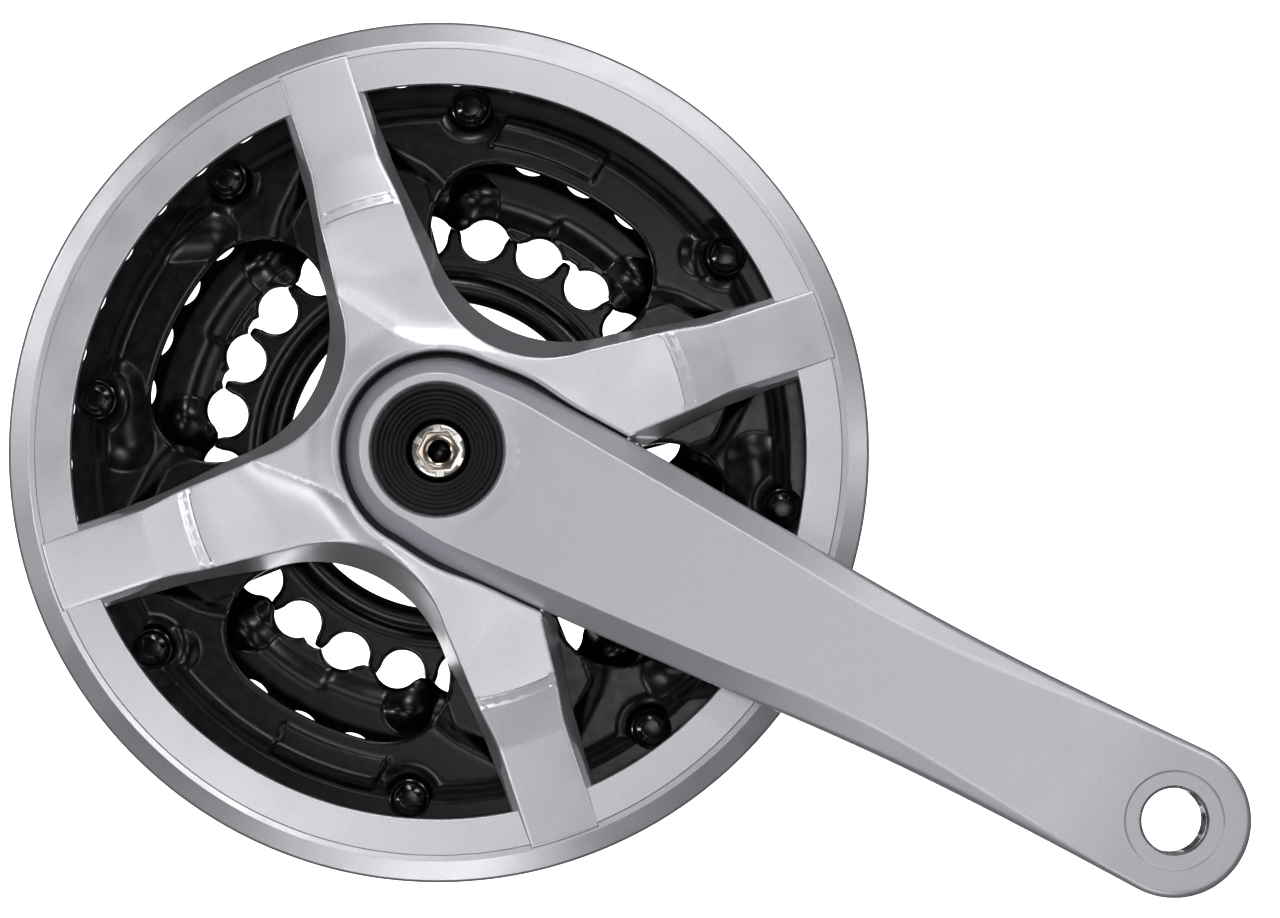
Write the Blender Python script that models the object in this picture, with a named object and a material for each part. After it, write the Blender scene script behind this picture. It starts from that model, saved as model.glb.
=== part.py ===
"""Bicycle crankset: right-hand crank arm with three riveted chainrings and a bolt-on chain guard.

Frame: +X runs along the arm from the boss to the pedal eye, +Z is up, and -Y is the outboard side.
The origin is on the spindle's axis, at the inboard face of the arm's boss.
Driving dimensions are in millimetres and are turned into metres where meshes are made.
"""
import bpy
import bmesh
from math import acos, asin, atan2, cos, degrees, hypot, pi, radians, sin, sqrt

MM = 0.001
GAP = 0.3            # clearance between pieces that touch on the real object
CUTTER_OVERRUN = 1.0 # how far a cutting tool reaches past the face that it opens
QUADRANTS = (45.0, 135.0, 225.0, 315.0)
SIDES = (0, 90, 180, 270)

# facets round a full turn
LARGE_ROUND = 96
MEDIUM_ROUND = 48
SMALL_ROUND = 12

# chain and chainrings
CHAIN_PITCH = 12.7
GULLET_RADIUS = 4.85
RING_THICKNESS = 2.0
RING_ARM_HALF_WIDTH = 12.6
TOOTH_TIP_HALF_WIDTH = 0.8

OUTER_TEETH = 42
OUTER_PHASE = 2.9
OUTER_TIP_RISE = 3.0
OUTER_Y = -14.0      # outboard face of the outer ring
OUTER_WINDOW_RADIUS = 64.3
OUTER_WINDOW_CORNER = 14.0
OUTER_HUB_RADIUS = 27.0
OUTER_HUB_CORNER = 4.0
OUTER_BORE_RADIUS = 17.6

MIDDLE_TEETH = 34
MIDDLE_PHASE = 4.6
MIDDLE_TIP_RISE = 2.6
MIDDLE_Y = -6.0
# chain-clearance scallops along the outer side of each window, with metal tabs left between them
MIDDLE_SCALLOP_DISTANCE = 47.3
MIDDLE_SCALLOP_RADIUS = 5.0
MIDDLE_SCALLOP_HALF_ANGLE = 58.0
MIDDLE_SCALLOP_PITCH = 15.0
MIDDLE_TAB_HALF_ANGLE = 1.0
MIDDLE_TAB_RADIUS = 49.2
MIDDLE_CUSP_RADIUS = 50.8
# radius of the metal between neighbouring scallops, window by window
MIDDLE_TABS = {
    0: (MIDDLE_TAB_RADIUS, MIDDLE_CUSP_RADIUS, MIDDLE_CUSP_RADIUS, MIDDLE_TAB_RADIUS),
    90: (MIDDLE_TAB_RADIUS, MIDDLE_CUSP_RADIUS, MIDDLE_TAB_RADIUS, MIDDLE_TAB_RADIUS),
    180: (MIDDLE_TAB_RADIUS, MIDDLE_CUSP_RADIUS, MIDDLE_CUSP_RADIUS, MIDDLE_TAB_RADIUS),
    270: (MIDDLE_TAB_RADIUS, MIDDLE_CUSP_RADIUS, MIDDLE_TAB_RADIUS, MIDDLE_TAB_RADIUS),
}
MIDDLE_EAR_TIP_RADIUS = 23.5

INNER_TEETH = 24
INNER_PHASE = 1.3
INNER_TIP_RISE = 1.8
INNER_Y = 2.0
INNER_OPENING_RADIUS = 34.0
INNER_OPENING_CORNER = 2.5
INNER_EAR_HALF_WIDTH = 7.0
INNER_EAR_TIP_RADIUS = 23.5
BEAD_RADIUS = 36.8   # stiffening bead pressed into the inner ring
BEAD_HALF_WIDTH = 1.7
BEAD_HEIGHT = 1.5
BEAD_ROOT = 1.0      # depth of the bead's foot inside the plate

# rivets and pins
RING_RIVET_CIRCLE = 47.0
INNER_RIVET_CIRCLE = 30.0
RIVET_SHANK_RADIUS = 2.6
RIVET_HEAD_RADIUS = 4.6
RIVET_HEAD_HEIGHT = 1.8
RIVET_TAIL_RADIUS = 4.2
STANDOFF_OUTER_RADIUS = 7.6   # pressed standoff of the middle ring
STANDOFF_INNER_RADIUS = 5.6
STANDOFF_TAPER = 0.6
SPACER_RADIUS = 4.6
PIN_CIRCLE = 75.5
PIN_ANGLES = (17.5, 61.3, 111.7, 154.8, 198.1, 241.2, 291.8, 334.2)
PIN_SHANK_RADIUS = 2.0
PIN_HEAD_RADIUS = 4.5
PIN_HEAD_HEIGHT = 2.2
PIN_CATCH_RADIUS = 3.2
PIN_CATCH_HEIGHT = 2.0

# crank arm
CRANK_LENGTH = 175.0
BOSS_RADIUS = 19.9
BOSS_FLARE = 0.4
BOSS_FACE_RADIUS = 16.6
BOSS_FACE_Y = -30.5
EYE_FACE_Y = -43.7
ARM_BACK_INSET = 2.0
ARM_ROWS = (0, 6, 13, 22, 35, 50, 65, 80, 95, 110, 125, 140, 152, 160, CRANK_LENGTH)
NECK_RADIUS = 17.3
COLLAR_RADIUS = 19.2
COLLAR_THICKNESS = 1.4
SHOULDER_RADIUS = 19.6
TAIL_RADIUS = 16.8
TAIL_CHAMFER = 1.0
COLLAR_CHAMFER = 0.3
BOSS_ROOT_Y = -22.0      # where the turned boss ends inside the forging
PEDAL_BORE_RADIUS = 6.9
PEDAL_CHAMFER_RADIUS = 7.5
SPOT_FACE_RADIUS = 10.4
SPOT_FACE_DEPTH = 0.4
TAPER_SMALL_SIDE = 12.8
TAPER_LARGE_SIDE = 13.9
TAPER_CORNER_RADIUS = 1.6
BORE_SHOULDER_Y = -15.5
EXTRACTOR_BORE_RADIUS = 11.0
COUNTERBORE_RADIUS = 14.4
COUNTERBORE_Y = -27.4
# (x, half width of the outboard face, half width of the arm, drop of the bevel between the two)
ARM_STATIONS = (
    (0.0, 16.4, 20.3, 5.2),
    (10.0, 17.1, 21.3, 5.4),
    (20.0, 16.6, 21.0, 5.4),
    (35.0, 15.6, 20.5, 5.2),
    (50.0, 14.7, 19.8, 5.0),
    (75.0, 13.0, 18.3, 4.4),
    (95.0, 11.4, 16.9, 3.6),
    (115.0, 11.2, 16.0, 2.6),
    (135.0, 12.4, 15.75, 1.9),
    (155.0, 13.6, 15.95, 1.6),
    (175.0, 14.3, 16.4, 1.5),
)
# (x, y) along the arm: it slopes outboard to clear the chain guard and the rider's shoe
ARM_FRONT_LINE = ((13.0, BOSS_FACE_Y), (160.0, EYE_FACE_Y))
ARM_BACK_LINE = ((22.0, -16.4), (80.0, -25.5), (160.0, -31.2))

# chain guard
GUARD_RADIUS = 93.0
GUARD_BACK_Y = -17.6
GUARD_FRONT_Y = -24.0
# (radius, y) round the rim: inner lip, coned band, fine step, bevel, skirt, and back under the shell
RIM_PROFILE = (
    (79.2, -21.6), (79.3, GUARD_FRONT_Y), (86.9, -23.62), (87.15, -23.38), (88.4, -23.25), (92.5, -21.1),
    (GUARD_RADIUS, -20.5), (92.7, -15.6), (90.8, -15.6), (90.8, -19.9), (88.2, -21.2), (81.6, -21.3),
)
WINDOW_VERTEX_FRONT = 25.4   # nearest point of a window to the axis, outboard edge
WINDOW_VERTEX_BACK = 30.3
WINDOW_FILLET_FRONT = 25.5
WINDOW_FILLET_BACK = 30.0
# (radius, half width of a spoke) outboard and inboard
SPOKE_FRONT = ((38.0, 10.5), (48.7, 9.55), (56.0, 9.0), (65.5, 7.75), (88.0, 7.8))
SPOKE_BACK = ((45.0, 12.6), (50.0, 11.75), (60.0, 10.3), (73.0, 9.5), (88.0, 9.3))
# (radius, y) of the web's outboard surface
WEB_PROFILE = (
    (20.0, -29.4), (26.0, -29.0), (54.2, -28.9), (55.9, -28.15), (65.5, -26.1), (88.0, -23.6),
)
WEB_OUTER_ROWS = (88.0, 80.0, 65.5, 55.9, 54.2, 47.0)
WEB_INNER_ROWS = 4
WEB_COLUMNS = 3
WELD_DISTANCE = 0.02
CORNER_SEARCH_STEP = 0.1
OPENING_CLEARANCE_BOSS = 1.3
OPENING_CLEARANCE_ARM = 0.45
OPENING_BLEND = (10.0, 22.0)   # where the clearance round the boss narrows to that beside the arm
OPENING_LENGTH = 60
OPENING_STEP = 2
OPENING_ANGLE_STEP = 5
SCREW_CIRCLE = 75.5
SCREW_RADIUS = 1.6
SCREW_HEAD_RADIUS = 3.6
SCREW_HEAD_HEIGHT = 1.9
SCREW_HEAD_CHAMFER = 0.9
SCREW_POINT = 0.6
SCREW_END_Y = -21.0
POST_RADIUS = 4.4
POST_ROOT_Y = -20.0

# fixing bolt, washer and dust cap
BOLT_THREAD_RADIUS = 3.95
BOLT_CHAMFER = 0.8
BOLT_HEAD_CHAMFER = 0.5
BOLT_END_Y = 4.5
BOLT_SEAT_Y = -17.4
BOLT_HEAD_Y = -22.9
BOLT_HEAD_RADIUS = 6.2
BOLT_FLANGE_RADIUS = 8.2
BOLT_FLANGE_Y = -18.9
HEX_ACROSS_FLATS = 8.0
HEX_FLOOR_Y = -18.8
PILOT_RADIUS = 2.4
PILOT_END_Y = -15.5
PILOT_POINT = 1.0
WASHER_RADIUS = 9.0
WASHER_BORE_RADIUS = 4.4
WASHER_THICKNESS = 1.3
WASHER_CHAMFER = 0.3
CAP_RADIUS = 14.1
CAP_SKIRT_RADIUS = 10.6
CAP_FRONT_Y = -30.9
CAP_EDGE = 0.4
# (radius, y) down the cap's stepped funnel
CAP_FUNNEL = (
    (13.2, -30.9), (12.6, -30.1), (11.8, -30.0), (11.5, -29.2), (10.7, -29.1), (10.4, -28.2),
    (9.6, -28.1), (9.3, -27.0), (8.5, -26.9), (8.2, -25.5), (7.5, -25.4), (6.9, -23.2),
)


def clear_scene():
    for obj in list(bpy.data.objects):
        bpy.data.objects.remove(obj, do_unlink=True)


def make_material(name, colour, metallic, roughness):
    material = bpy.data.materials.new(name)
    material.use_nodes = True
    shader = material.node_tree.nodes["Principled BSDF"]
    shader.inputs["Base Color"].default_value = (*colour, 1.0)
    shader.inputs["Metallic"].default_value = metallic
    shader.inputs["Roughness"].default_value = roughness
    return material


def make_object(name, bm, material=None, smooth_angle=28.0):
    """Turn a bmesh in millimetres into an object in metres."""
    bmesh.ops.scale(bm, vec=(MM, MM, MM), verts=bm.verts)
    bmesh.ops.recalc_face_normals(bm, faces=bm.faces)
    mesh = bpy.data.meshes.new(name)
    bm.to_mesh(mesh)
    bm.free()
    mesh.shade_smooth()
    mesh.set_sharp_from_angle(angle=radians(smooth_angle))
    obj = bpy.data.objects.new(name, mesh)
    bpy.context.collection.objects.link(obj)
    if material:
        mesh.materials.append(material)
    return obj


def combine(target, tool, operation):
    """Cut or join a hidden tool object with the target by an exact Boolean."""
    modifier = target.modifiers.new(tool.name, 'BOOLEAN')
    modifier.operation = operation
    modifier.solver = 'EXACT'
    modifier.object = tool
    tool.hide_render = True
    tool.display_type = 'WIRE'


def smooth_table(table, x):
    """Value of a (position, value) table at x, on a smooth curve through its points."""
    if x <= table[0][0]:
        return table[0][1]
    if x >= table[-1][0]:
        return table[-1][1]
    slopes = []
    for i in range(len(table)):
        before = table[max(i - 1, 0)]
        after = table[min(i + 1, len(table) - 1)]
        slopes.append((after[1] - before[1]) / (after[0] - before[0]))
    for i in range(len(table) - 1):
        (x0, y0), (x1, y1) = table[i], table[i + 1]
        if x <= x1:
            span = x1 - x0
            t = (x - x0) / span
            blend0 = (1 + 2 * t) * (1 - t) ** 2
            blend1 = t * t * (3 - 2 * t)
            tangent0 = t * (1 - t) ** 2 * span
            tangent1 = t * t * (t - 1) * span
            return y0 * blend0 + y1 * blend1 + slopes[i] * tangent0 + slopes[i + 1] * tangent1


def straight_table(table, x):
    """Value of a (position, value) table at x, on straight lines between its points."""
    if x <= table[0][0]:
        return table[0][1]
    for (x0, y0), (x1, y1) in zip(table, table[1:]):
        if x <= x1:
            return y0 + (y1 - y0) * (x - x0) / (x1 - x0)
    return table[-1][1]


def polar(radius, angle_degrees):
    angle = radians(angle_degrees)
    return (radius * cos(angle), radius * sin(angle))


def arc(centre, radius, start, end, steps):
    """Points of an arc from start to end degrees, both ends included."""
    points = []
    for i in range(steps + 1):
        angle = radians(start + (end - start) * i / steps)
        points.append((centre[0] + radius * cos(angle), centre[1] + radius * sin(angle)))
    return points


def circle(centre, radius, segments):
    return arc(centre, radius, 0, 360 - 360 / segments, segments - 1)


def rotate_points(points, angle_degrees):
    c = cos(radians(angle_degrees))
    s = sin(radians(angle_degrees))
    return [(x * c - z * s, x * s + z * c) for x, z in points]


def add_loop(bm, points, y):
    return [bm.verts.new((x, y, z)) for x, z in points]


def bridge(bm, loop_a, loop_b):
    count = len(loop_a)
    for i in range(count):
        j = (i + 1) % count
        bm.faces.new((loop_a[i], loop_a[j], loop_b[j], loop_b[i]))


def fill_between(bm, loops, normal_y):
    """Fill the flat region between the first loop and the others, which are holes."""
    edges = []
    for loop in loops:
        for i in range(len(loop)):
            a, b = loop[i], loop[(i + 1) % len(loop)]
            edges.append(bm.edges.get((a, b)) or bm.edges.new((a, b)))
    bmesh.ops.triangle_fill(bm, use_beauty=True, edges=edges, normal=(0.0, normal_y, 0.0))


def stamped_plate(name, outline, openings, sockets, front_y, back_y, material):
    """A flat plate with openings through it.

    A socket is (centre, profile); its profile is a list of (radius, y) rings that runs from the
    front face to the back face, so it makes a plain hole or a pressed standoff.
    """
    bm = bmesh.new()
    fronts = []
    backs = []
    for points in [outline] + openings:
        front = add_loop(bm, points, front_y)
        back = add_loop(bm, points, back_y)
        bridge(bm, front, back)
        fronts.append(front)
        backs.append(back)
    for centre, profile in sockets:
        rings = [add_loop(bm, circle(centre, radius, SMALL_ROUND), y) for radius, y in profile]
        for ring, following in zip(rings, rings[1:]):
            bridge(bm, ring, following)
        fronts.append(rings[0])
        backs.append(rings[-1])
    fill_between(bm, fronts, -1.0)
    fill_between(bm, backs, 1.0)
    return make_object(name, bm, material)


def turned(name, profile, segments, material=None, centre=(0.0, 0.0), smooth_angle=28.0):
    """A solid turned round the Y direction through centre.

    The profile is (radius, y) points; a closed profile away from the axis makes a ring, and one
    that starts and ends at radius zero makes a solid piece.
    """
    bm = bmesh.new()
    solid = profile[0][0] == 0.0
    rings = []
    for radius, y in profile:
        if radius == 0.0:
            rings.append([bm.verts.new((centre[0], y, centre[1]))])
        else:
            rings.append(add_loop(bm, circle(centre, radius, segments), y))
    pairs = list(zip(rings, rings[1:]))
    if not solid:
        pairs.append((rings[-1], rings[0]))
    for ring, following in pairs:
        if len(ring) == 1 or len(following) == 1:
            tip, loop = (ring[0], following) if len(ring) == 1 else (following[0], ring)
            for i in range(segments):
                bm.faces.new((tip, loop[i], loop[(i + 1) % segments]))
        else:
            bridge(bm, ring, following)
    return make_object(name, bm, material, smooth_angle)


def dome(radius, base_y, tip_y, steps=2):
    """Points of a domed head from its rim to the axis."""
    points = []
    for i in range(steps):
        angle = pi / 2 * i / steps
        points.append((radius * cos(angle), base_y + (tip_y - base_y) * sin(angle)))
    points.append((0.0, tip_y))
    return points


def join_bodies(name, builders):
    """One hidden tool made of several separate solids."""
    bm = bmesh.new()
    for profile, segments, centre in builders:
        piece = turned(name, profile, segments, centre=centre)
        bm.from_mesh(piece.data)
        bpy.data.objects.remove(piece, do_unlink=True)
    bmesh.ops.scale(bm, vec=(1 / MM, 1 / MM, 1 / MM), verts=bm.verts)
    return make_object(name, bm)


# chainrings

def tooth_outline(teeth, phase, tip_rise, seat_steps=4):
    """Outline of a chainring: a round chain seat at each pitch point and a blunt tip between seats."""
    pitch_radius = CHAIN_PITCH / (2 * sin(pi / teeth))
    spacing = 360.0 / teeth
    tip_radius = pitch_radius + tip_rise
    tip_half_angle = degrees(TOOTH_TIP_HALF_WIDTH / tip_radius)
    points = []
    for k in range(teeth):
        angle = phase + k * spacing
        seat = arc((pitch_radius, 0.0), GULLET_RADIUS, 265, 95, seat_steps)
        points += rotate_points(seat, angle)
        for offset in (-tip_half_angle, tip_half_angle):
            points.append(polar(tip_radius, angle + spacing / 2 + offset))
    return points


def quarter_window(outer_radius, corner_radius, arm_half_width, quadrant):
    """Outer side of a window, from one ring arm to the next, as points about the origin.

    Every window lies between arms at plus and minus 45 degrees from its own axis.
    """
    centre_distance = outer_radius - corner_radius
    across = arm_half_width + corner_radius
    centre_angle = 45.0 - degrees(asin(across / centre_distance))
    centre = polar(centre_distance, centre_angle)
    lower = arc((centre[0], -centre[1]), corner_radius, -135, -centre_angle, 6)
    upper = arc(centre, corner_radius, centre_angle, 135, 6)
    middle = arc((0, 0), outer_radius, -centre_angle, centre_angle, 8)[1:-1]
    return rotate_points(lower + middle + upper, quadrant)


def ring_windows(outer_radius, corner_radius, arm_half_width, hub_radius, hub_corner):
    """Four closed windows between the arms of a ring that has a hub."""
    windows = []
    hub_distance = hub_radius + hub_corner
    hub_angle = 45.0 - degrees(asin((arm_half_width + hub_corner) / hub_distance))
    low_centre = polar(hub_distance, -hub_angle)
    high_centre = polar(hub_distance, hub_angle)
    inner = arc(high_centre, hub_corner, 135, 180 + hub_angle, 4)
    inner += arc((0, 0), hub_radius, hub_angle, -hub_angle, 6)[1:-1]
    inner += arc(low_centre, hub_corner, 180 - hub_angle, 225, 4)
    for axis in SIDES:
        outer = quarter_window(outer_radius, corner_radius, arm_half_width, 0)
        windows.append(rotate_points(outer + inner, axis))
    return windows


def eared_opening(outer_radius, corner_radius, ear_half_width, ear_tip_radius):
    """One central opening with four rounded ears that reach in towards the axis."""
    points = []
    tip_centre = ear_tip_radius + ear_half_width
    for axis in SIDES:
        points += quarter_window(outer_radius, corner_radius, ear_half_width, axis)
        points += arc(polar(tip_centre, axis + 45), ear_half_width, axis + 315, axis + 135, 8)
    return points


def scalloped_edge(axis, steps=6):
    """Outer side of one window of the middle ring, from one ear to the next."""
    points = []
    last = 2
    for k in range(-last, last + 1):
        start = 0.0 if k == -last else -MIDDLE_SCALLOP_HALF_ANGLE
        end = 0.0 if k == last else MIDDLE_SCALLOP_HALF_ANGLE
        scallop = arc((MIDDLE_SCALLOP_DISTANCE, 0.0), MIDDLE_SCALLOP_RADIUS, start, end, steps)
        scallop = rotate_points(scallop, MIDDLE_SCALLOP_PITCH * k)
        points += [p for p in scallop if (p[0] - abs(p[1])) / sqrt(2) > RING_ARM_HALF_WIDTH + GAP]
        if k < last:
            middle = MIDDLE_SCALLOP_PITCH * (k + 0.5)
            tab = MIDDLE_TABS[axis][k + last]
            points += arc((0, 0), tab, middle - MIDDLE_TAB_HALF_ANGLE, middle + MIDDLE_TAB_HALF_ANGLE, 1)
    return rotate_points(points, axis)


def scalloped_opening():
    """The middle ring's opening: four scalloped windows joined round the ears that carry the rivets."""
    points = []
    tip_centre = MIDDLE_EAR_TIP_RADIUS + RING_ARM_HALF_WIDTH
    for axis in SIDES:
        points += scalloped_edge(axis)
        points += arc(polar(tip_centre, axis + 45), RING_ARM_HALF_WIDTH, axis + 315, axis + 135, 8)
    return points


def through_hole(radius, angle, circle, front_y, back_y):
    return (polar(circle, angle), ((radius, front_y), (radius, back_y)))


def build_outer_ring(material):
    front = OUTER_Y
    back = OUTER_Y + RING_THICKNESS
    sockets = [through_hole(PIN_SHANK_RADIUS + GAP, a, PIN_CIRCLE, front, back) for a in PIN_ANGLES]
    sockets += [through_hole(SCREW_RADIUS + GAP, a, SCREW_CIRCLE, front, back) for a in QUADRANTS]
    rivet_hole = RIVET_SHANK_RADIUS + GAP
    sockets += [through_hole(rivet_hole, a, RING_RIVET_CIRCLE, front, back) for a in QUADRANTS]
    windows = ring_windows(OUTER_WINDOW_RADIUS, OUTER_WINDOW_CORNER, RING_ARM_HALF_WIDTH,
                           OUTER_HUB_RADIUS, OUTER_HUB_CORNER)
    bore = circle((0, 0), OUTER_BORE_RADIUS, MEDIUM_ROUND)
    outline = tooth_outline(OUTER_TEETH, OUTER_PHASE, OUTER_TIP_RISE)
    stamped_plate("outer_chainring", outline, windows + [bore], sockets, front, back, material)


def build_middle_ring(material):
    front = MIDDLE_Y
    back = MIDDLE_Y + RING_THICKNESS
    top = OUTER_Y + RING_THICKNESS + GAP
    under = top + RING_THICKNESS
    hole = RIVET_SHANK_RADIUS + GAP
    standoff = (
        (STANDOFF_OUTER_RADIUS, front), (STANDOFF_OUTER_RADIUS - STANDOFF_TAPER, top), (hole, top),
        (hole, under), (STANDOFF_INNER_RADIUS - STANDOFF_TAPER, under), (STANDOFF_INNER_RADIUS, back),
    )
    sockets = [(polar(RING_RIVET_CIRCLE, a), standoff) for a in QUADRANTS]
    sockets += [through_hole(hole, a, INNER_RIVET_CIRCLE, front, back) for a in QUADRANTS]
    outline = tooth_outline(MIDDLE_TEETH, MIDDLE_PHASE, MIDDLE_TIP_RISE)
    stamped_plate("middle_chainring", outline, [scalloped_opening()], sockets, front, back, material)


def build_inner_ring(material):
    front = INNER_Y
    back = INNER_Y + RING_THICKNESS
    hole = RIVET_SHANK_RADIUS + GAP
    sockets = [through_hole(hole, a, INNER_RIVET_CIRCLE, front, back) for a in QUADRANTS]
    opening = eared_opening(INNER_OPENING_RADIUS, INNER_OPENING_CORNER, INNER_EAR_HALF_WIDTH,
                            INNER_EAR_TIP_RADIUS)
    outline = tooth_outline(INNER_TEETH, INNER_PHASE, INNER_TIP_RISE)
    ring = stamped_plate("inner_chainring", outline, [opening], sockets, front, back, material)
    crest = front - BEAD_HEIGHT
    root = front + BEAD_ROOT
    bead = [(BEAD_RADIUS - BEAD_HALF_WIDTH, root), (BEAD_RADIUS + BEAD_HALF_WIDTH, root)]
    bead += [(BEAD_RADIUS + BEAD_HALF_WIDTH / 2, crest), (BEAD_RADIUS - BEAD_HALF_WIDTH / 2, crest)]
    combine(ring, turned("inner_ring_bead", bead, MEDIUM_ROUND), 'UNION')


# rivets, pins and spacers

def rivet_profile(front_y, back_y, shank_radius, head_radius, head_height, tail_radius, tail_height):
    """Front dome, shank and back head of a set rivet, from the front tip to the back tip."""
    front = dome(head_radius, front_y - GAP, front_y - GAP - head_height)
    back = dome(tail_radius, back_y + GAP, back_y + GAP + tail_height)
    shank = [(shank_radius, front_y - GAP), (shank_radius, back_y + GAP)]
    return front[::-1] + shank + back


def build_rivets(steel, black):
    ring_stack_back = OUTER_Y + 2 * RING_THICKNESS + GAP
    inner_back = INNER_Y + RING_THICKNESS
    pin = rivet_profile(OUTER_Y, OUTER_Y + RING_THICKNESS, PIN_SHANK_RADIUS, PIN_HEAD_RADIUS,
                        PIN_HEAD_HEIGHT, PIN_CATCH_RADIUS, PIN_CATCH_HEIGHT)
    ring_rivet = rivet_profile(OUTER_Y, ring_stack_back, RIVET_SHANK_RADIUS, RIVET_HEAD_RADIUS,
                               RIVET_HEAD_HEIGHT, RIVET_TAIL_RADIUS, RIVET_HEAD_HEIGHT)
    inner_rivet = rivet_profile(MIDDLE_Y, inner_back, RIVET_SHANK_RADIUS, RIVET_HEAD_RADIUS,
                                RIVET_HEAD_HEIGHT, RIVET_HEAD_RADIUS, RIVET_HEAD_HEIGHT)
    spacer_front = MIDDLE_Y + RING_THICKNESS + GAP
    spacer_back = INNER_Y - GAP
    bore = RIVET_SHANK_RADIUS + GAP
    spacer = [(bore, spacer_front), (SPACER_RADIUS, spacer_front)]
    spacer += [(SPACER_RADIUS, spacer_back), (bore, spacer_back)]
    for i, angle in enumerate(PIN_ANGLES, 1):
        turned(f"shift_pin_{i}", pin, SMALL_ROUND, black, polar(PIN_CIRCLE, angle))
    for i, angle in enumerate(QUADRANTS, 1):
        turned(f"ring_rivet_{i}", ring_rivet, SMALL_ROUND, black, polar(RING_RIVET_CIRCLE, angle))
        turned(f"inner_ring_rivet_{i}", inner_rivet, SMALL_ROUND, black, polar(INNER_RIVET_CIRCLE, angle))
        turned(f"inner_ring_spacer_{i}", spacer, SMALL_ROUND, steel, polar(INNER_RIVET_CIRCLE, angle))


# crank arm

def arm_front_y(x):
    return straight_table(ARM_FRONT_LINE, x)


def arm_back_y(x):
    return straight_table(ARM_BACK_LINE, x)


def arm_width(x, column):
    return smooth_table([(station[0], station[column]) for station in ARM_STATIONS], x)


def boss_outline_radius(angle_degrees):
    return BOSS_RADIUS + BOSS_FLARE * abs(sin(radians(angle_degrees))) ** 8


def arm_outline(column, boss_inset, side_inset, steps=10):
    """Closed outline of the arm in the XZ plane: boss end, upper side, pedal eye, lower side."""
    points = []
    for i in range(1, steps):
        angle = 270 - 180 * i / steps
        points.append(polar(boss_outline_radius(angle) - boss_inset, angle))
    upper = [(x, arm_width(x, column) - side_inset) for x in ARM_ROWS]
    eye = arm_width(CRANK_LENGTH, column) - side_inset
    points += upper
    points += arc((CRANK_LENGTH, 0.0), eye, 90, -90, steps)[1:-1]
    points += [(x, -z) for x, z in reversed(upper)]
    return points


def arm_loops(bm):
    """Four outlines of the arm from its inboard face to its outboard face."""
    drop = BOSS_RADIUS - BOSS_FACE_RADIUS
    back = arm_outline(2, ARM_BACK_INSET, ARM_BACK_INSET)
    side = arm_outline(2, 0.0, 0.0)
    face = arm_outline(1, drop, 0.0)
    return [
        [bm.verts.new((x, arm_back_y(x), z)) for x, z in back],
        [bm.verts.new((x, arm_back_y(x) - ARM_BACK_INSET, z)) for x, z in side],
        [bm.verts.new((x, arm_front_y(x) + arm_width(max(x, 0), 3), z)) for x, z in side],
        [bm.verts.new((x, arm_front_y(x), z)) for x, z in face],
    ]


def ladder_cap(bm, loop):
    """Close a loop that is symmetric about Z = 0 with rungs across it."""
    count = len(loop)
    ahead = min(range(count), key=lambda i: loop[i].co.x)
    behind = ahead
    for _ in range(count // 2):
        next_ahead = (ahead + 1) % count
        next_behind = (behind - 1) % count
        corners = [loop[behind], loop[ahead], loop[next_ahead], loop[next_behind]]
        unique = list(dict.fromkeys(corners))
        if len(unique) > 2:
            bm.faces.new(unique)
        ahead = next_ahead
        behind = next_behind


def square_taper_cutter():
    bm = bmesh.new()
    growth = (TAPER_LARGE_SIDE - TAPER_SMALL_SIDE) / -BORE_SHOULDER_Y
    rings = []
    for y in (BORE_SHOULDER_Y - CUTTER_OVERRUN, CUTTER_OVERRUN):
        half = (TAPER_LARGE_SIDE + growth * y) / 2
        centre = half - TAPER_CORNER_RADIUS
        points = []
        for side in SIDES:
            points += rotate_points(arc((centre, centre), TAPER_CORNER_RADIUS, 0, 90, 3), side)
        rings.append(add_loop(bm, rotate_points(points, 45), y))
    bridge(bm, rings[0], rings[1])
    bm.faces.new(rings[0])
    bm.faces.new(rings[1])
    return make_object("square_taper_cutter", bm)


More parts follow.
